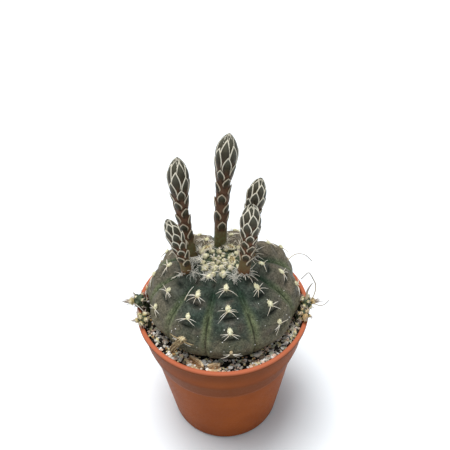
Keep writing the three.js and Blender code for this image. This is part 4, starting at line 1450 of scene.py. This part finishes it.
def make_scales(bud, line, rng):
    template = added(bpy.ops.mesh.primitive_grid_add, x_subdivisions=SCALE_COLUMNS,
                     y_subdivisions=SCALE_ROWS, size=2)
    size = bud["head"] / 3.3
    scales = []
    foot = bud["foot"]
    while foot < line.length - INNERMOST_SCALE_FOOT * size:
        left = line.length - foot
        grown = smoothstep(left, 16 * size, 8 * size)
        length = lerp(*bud["lengths"], grown)
        if length > left - CLOSING_TIPS:
            beyond = length - left + CLOSING_TIPS
            length = left - CLOSING_TIPS * math.exp(-0.8 * beyond)
        turn = bud["start"] - GOLDEN_ANGLE * len(scales) + 8 * (rng.random() - 0.5)
        scale = copy_of(template)
        bend_scale(scale, bud, line, foot, turn, length, lerp(*bud["halves"], grown),
                   lerp(*SCALE_STANDS, grown), lerp(*SCALE_BULGES, grown))
        scales.append(scale)
        foot += lerp(*bud["rises"], smoothstep(left, 22 * size, 10 * size))
    remove(template)
    scales = joined(scales)
    apply_modifier(scales, "SOLIDIFY", thickness=SCALE_THICKNESS, offset=-1)
    return scales


def seat_lines(bud, rng):
    """Spines that spread from under a bud, and the wool at its foot."""
    point, downhill, normal = skin_frame(bud["azimuth"], bud["down"])
    spines, wools = [], []
    for turn in SEAT_SPINES:
        flat = turned_about(downhill, normal, turn + 14 * (rng.random() - 0.5))
        root = point + flat * (bud["stem"] + 0.1)
        length = rng.uniform(*SEAT_SPINE_LENGTHS)
        spines.append(spine_line(rng, root, flat, normal, length, SEAT_SPINE_THICKNESS,
                                 SEAT_SPINE_RISE))
    for _ in range(SEAT_HAIRS):
        flat = turned_about(downhill, normal, 300 * (rng.random() - 0.5))
        root = point + flat * (bud["stem"] + 0.3 * rng.random()) + normal * 0.1
        drift = any_way(rng)
        way = [root, root + flat * 0.5 + drift * 0.35 + normal * 0.35,
               root + flat * 1.0 + drift * 0.8 + normal * 0.3]
        wools.append([(over_skin(place, 0.15), thickness)
                      for place, thickness in zip(way, SEAT_HAIR_THICKNESSES)])
    return spines, wools


def make_buds(tube_material, scale_material, spine_material, fluff_material):
    rng = random.Random(55)
    spines, wools = [], []
    for name, bud in BUDS.items():
        line = bud_line(bud)
        tube = make_tube(bud, line)
        finish_piece(tube, f"tube_of_bud_{name}", tube_material, "bud", f"bud_{name}")
        finish_piece(make_scales(bud, line, rng), f"scales_of_bud_{name}", scale_material, "bud",
                     smooth=50)
        more_spines, more_wool = seat_lines(bud, rng)
        spines += more_spines
        wools += more_wool
    finish_piece(strands(spines), "bud_seat_spines", spine_material, "wool")
    finish_piece(strands(wools), "bud_seat_wool", fluff_material, "wool")


# The offsets

def icosahedron_corners(first):
    """Twelve even directions, the first of them given."""
    ball = added(bpy.ops.mesh.primitive_ico_sphere_add, subdivisions=1, radius=1)
    turn = Vector((0, 0, 1)).rotation_difference(first)
    corners = [turn @ vertex.co for vertex in ball.data.vertices]
    remove(ball)
    return sorted(corners, key=lambda corner: -corner.dot(first))


def make_offset_globe(offset, centre, corners):
    """A small globe with a tubercle at each corner, and the stalk that it grows on."""
    globe = added(bpy.ops.mesh.primitive_ico_sphere_add, subdivisions=4, radius=1)

    def bumpy(point):
        near = max(corner.dot(point) for corner in corners)
        bump = 0.22 * smoothstep(near, 0.86, 1.0) - 0.08 + 0.05 * noise(point * 3)
        return centre + point * offset["radius"] * (1 + bump)

    move_vertices(globe, bumpy)
    stalk = [at_azimuth(offset["azimuth"], STALK_RING, SOIL_Z - 2.2),
             at_azimuth(offset["azimuth"], STALK_RING, POT_HEIGHT - 0.5),
             at_azimuth(offset["azimuth"], lerp(STALK_RING, offset["out"], 0.3),
                        POT_HEIGHT + 0.65 * offset["above"]),
             centre]
    return joined([globe, strands([tapered(stalk, 8, STALK_RADIUS, STALK_RADIUS)])])


def make_offset(name, offset, rng, materials):
    flesh_material, wool_material, hair_material = materials
    centre = at_azimuth(offset["azimuth"], offset["out"], POT_HEIGHT + offset["above"])
    brush = Vector(offset["brush"]).normalized()
    radius = offset["radius"]
    corners = icosahedron_corners(brush)
    finish_piece(make_offset_globe(offset, centre, corners), f"globe_of_offset_{name}",
                 flesh_material, "wool", f"offset_{name}")
    shapes = [woolly_pad(rng, hairs=50) for _ in range(2)]
    pads, lines = [], []
    for count, corner in enumerate(corners):
        if corner.z < -0.6:
            continue
        foremost = count == 0
        kind = 0 if foremost else 1
        share = offset["pads"][kind] * (1 if foremost else rng.uniform(0.7, 1.2))
        size = radius * share
        point = centre + corner * radius * (0.7 + 0.55 * share if foremost else 1.02)
        tall = offset["tall"] if foremost else 1
        place = standing_on(point, corner, Vector((0.1, 0.2, 1)))
        pads.append(placed_pad(shapes[count % len(shapes)], place, (size, tall * size, size), 0.9,
                               offset["tan"][kind] * rng.uniform(0.7, 1)))
        thickness = OFFSET_THICKNESSES[kind]
        for _ in range(OFFSET_SPINES[kind]):
            way = (corner + any_way(rng) * OFFSET_SPREADS[kind] + brush * 0.3).normalized()
            length = rng.uniform(0.6, 1) * (offset["reach"] if foremost else OTHER_REACH)
            start = point + any_way(rng) * 0.4 * size
            lines.append([(start, thickness), (start + way * length * 0.5, 0.85 * thickness),
                          (start + way * length + any_way(rng) * 0.25, 0.4 * thickness)])
    remove(*shapes)
    finish_piece(joined(pads), f"wool_of_offset_{name}", wool_material, "wool")
    finish_piece(strands(lines), f"spines_of_offset_{name}", hair_material, "wool")


def make_long_hairs(material):
    """The long hairs of the right offset, and one of the body."""
    right = OFFSETS["right"]
    centre = at_azimuth(right["azimuth"], right["out"], POT_HEIGHT + right["above"])
    hairs = [tapered(BODY_HAIR, 24, BODY_HAIR_THICKNESS, HAIR_TIP)]
    hairs += [tapered([centre, *route], 24, thickness, HAIR_TIP)
              for thickness, route in RIGHT_HAIRS]
    finish_piece(strands(hairs), "long_hairs", material, "wool")


# The dried flower and the bark

def fold_wave(azimuth, share):
    """The folds of the dried flower, from -1 in a hollow to 1, which turn a little on the way."""
    return math.cos(math.radians(DRIED_FLOWER_FOLDS * azimuth) + 3 * share)


def make_dried_flower(material, wool_material):
    rings = 40

    def place(azimuth, ring):
        share = clamp((ring - 1) / (rings - 2))
        middle = point_on(DRIED_FLOWER_ROUTE, share)
        ahead = (point_on(DRIED_FLOWER_ROUTE, min(1, share + 0.02))
                 - point_on(DRIED_FLOWER_ROUTE, max(0, share - 0.02))).normalized()
        if ring in (0, rings):
            return middle + ahead * (0.2 if ring else -0.2)
        side = turned_about(Vector((0, 0, 1)).cross(ahead).normalized(), ahead, azimuth)
        wide = 0.74 + 0.2 * math.cos(math.pi * share) ** 2
        folds = 0.11 * fold_wave(azimuth, share)
        crumple = 0.12 * noise(middle * 1.5 + side)
        return middle + side * DRIED_FLOWER_RADIUS * (wide + folds + crumple)

    tube, spots = ring_mesh(60, rings, place)
    # How deep in a fold's hollow each place is, for the painted shade there.
    mark(tube, "furrow", [0.5 - 0.5 * fold_wave(azimuth, ring / rings) for azimuth, ring in spots])
    petals = strands([tapered(route, 8, 0.32, 0.08) for route in DRIED_PETALS])
    finish_piece(joined([tube, petals]), "dried_flower_remains", material, "dried",
                 "dried_flower", smooth=70)
    cap = woolly_pad(random.Random(13), hairs=40)
    head = Vector(DRIED_FLOWER_ROUTE[0])
    cap.data.transform(Matrix.Translation(head + Vector((0.2, -0.1, 0.3)))
                       @ Matrix.Diagonal((1.15, 0.9, 0.7, 1)))
    mark(cap, "age", 0.35)
    mark(cap, "patches_and_shade", 0.6)
    finish_piece(cap, "dried_flower_wool", wool_material, "wool")


def make_bark(name, chip, material):
    length, width, thickness = chip["size"]
    flake = added(bpy.ops.mesh.primitive_grid_add, x_subdivisions=24, y_subdivisions=16, size=2)
    hollows = []

    def curled(point):
        x, y = point.x, point.y
        ragged = 1 + 0.14 * noise(Vector((x * 2.5, y * 2.5, length)))
        narrowing = math.sqrt(1 - 0.75 * x * x) * (1 + 0.15 * math.sin(2.5 * x))
        curl = 0.85 * abs(y) ** 2.2 + 0.12 * x + 0.1 * noise(Vector((x * 2, y * 2, width)))
        hollows.append(clamp(1.15 - 1.2 * abs(y)))
        return Vector((x * length * ragged, y * width * narrowing * ragged * (1 - 0.16 * y * y),
                       curl * width))

    move_vertices(flake, curled)
    mark(flake, "hollow", hollows)
    apply_modifier(flake, "SOLIDIFY", thickness=1.6 * thickness, offset=-1)
    at = at_azimuth(chip["azimuth"], chip["out"], SOIL_Z + BARK_ABOVE_SOIL)
    flake.data.transform(Matrix.Translation(at)
                         @ Matrix.Rotation(math.radians(chip["turn"]), 4, "Z")
                         @ Matrix.Rotation(math.radians(chip["tip"]), 4, "X"))
    finish_piece(flake, f"bark_flake_{name}", material, "dried", f"bark_chip_{name}", smooth=50)


# Camera, lights and floor

def make_camera():
    lean = math.radians(CAMERA_LEAN)
    down = math.radians(CAMERA_DOWN)
    forward = Vector((0, math.cos(down), -math.sin(down)))
    level_right = Vector((1, 0, 0))
    level_up = Vector((0, math.sin(down), math.cos(down)))
    right = level_right * math.cos(lean) + level_up * math.sin(lean)
    up = level_up * math.cos(lean) - level_right * math.sin(lean)
    camera = bpy.data.objects.new("camera", bpy.data.cameras.new("camera"))
    camera.matrix_world = (Matrix.Translation(Vector(CAMERA_PLACE) * MM)
                           @ Matrix((right, up, -forward)).transposed().to_4x4())
    camera.data.lens = CAMERA_LENS
    camera.data.clip_start = 0.01
    bpy.context.collection.objects.link(camera)
    bpy.context.scene.camera = camera


def make_light():
    light = added(bpy.ops.object.light_add, type="AREA", location=LIGHT_PLACE)
    light.name = "overhead"
    light.data.size = LIGHT_SIZE
    light.data.energy = LIGHT_POWER
    towards = Vector((0, 0, LIGHT_AIM_Z)) - Vector(LIGHT_PLACE)
    light.rotation_euler = towards.to_track_quat("-Z", "Y").to_euler()


def make_stage(material):
    floor = added(bpy.ops.mesh.primitive_plane_add, size=6, location=(0, 1.5, 0))
    bpy.ops.object.transform_apply(location=True)
    floor.name = "floor"
    floor.data.materials.append(material)
    world = bpy.data.worlds.new("soft_white")
    bpy.context.scene.world = world
    world.use_nodes = True
    background = world.node_tree.nodes["Background"]
    background.inputs["Color"].default_value = WORLD_COLOR
    background.inputs["Strength"].default_value = WORLD_STRENGTH
    make_light()
    bpy.context.scene.view_settings.view_transform = "Standard"


def build():
    make_camera()
    make_stage(floor_paper())
    make_pot(pot_plastic())
    black_peat = peat()
    make_soil_bed(black_peat)
    make_grit(stone())
    make_crumbs(black_peat)
    make_skin(skin())
    cream_wool = wool("cream_wool", (255, 254, 228), (250, 240, 188))
    white_wool = wool("white_wool", (252, 249, 238), (222, 214, 198))
    pale_spine = spine()
    flesh = young_flesh()
    make_areoles(cream_wool, pale_spine)
    make_crown_flesh(flesh)
    make_crown(cream_wool, pale_spine, white_wool, young_scales())
    make_buds(bud_tube(), bud_scale(), pale_spine, white_wool)
    hair = tan_hair()
    rng = random.Random(89)
    for name, offset in OFFSETS.items():
        make_offset(name, offset, rng, (flesh, cream_wool, hair))
    make_long_hairs(hair)
    make_dried_flower(dried(), cream_wool)
    flake = bark()
    for name, chip in BARK.items():
        make_bark(name, chip, flake)


build()
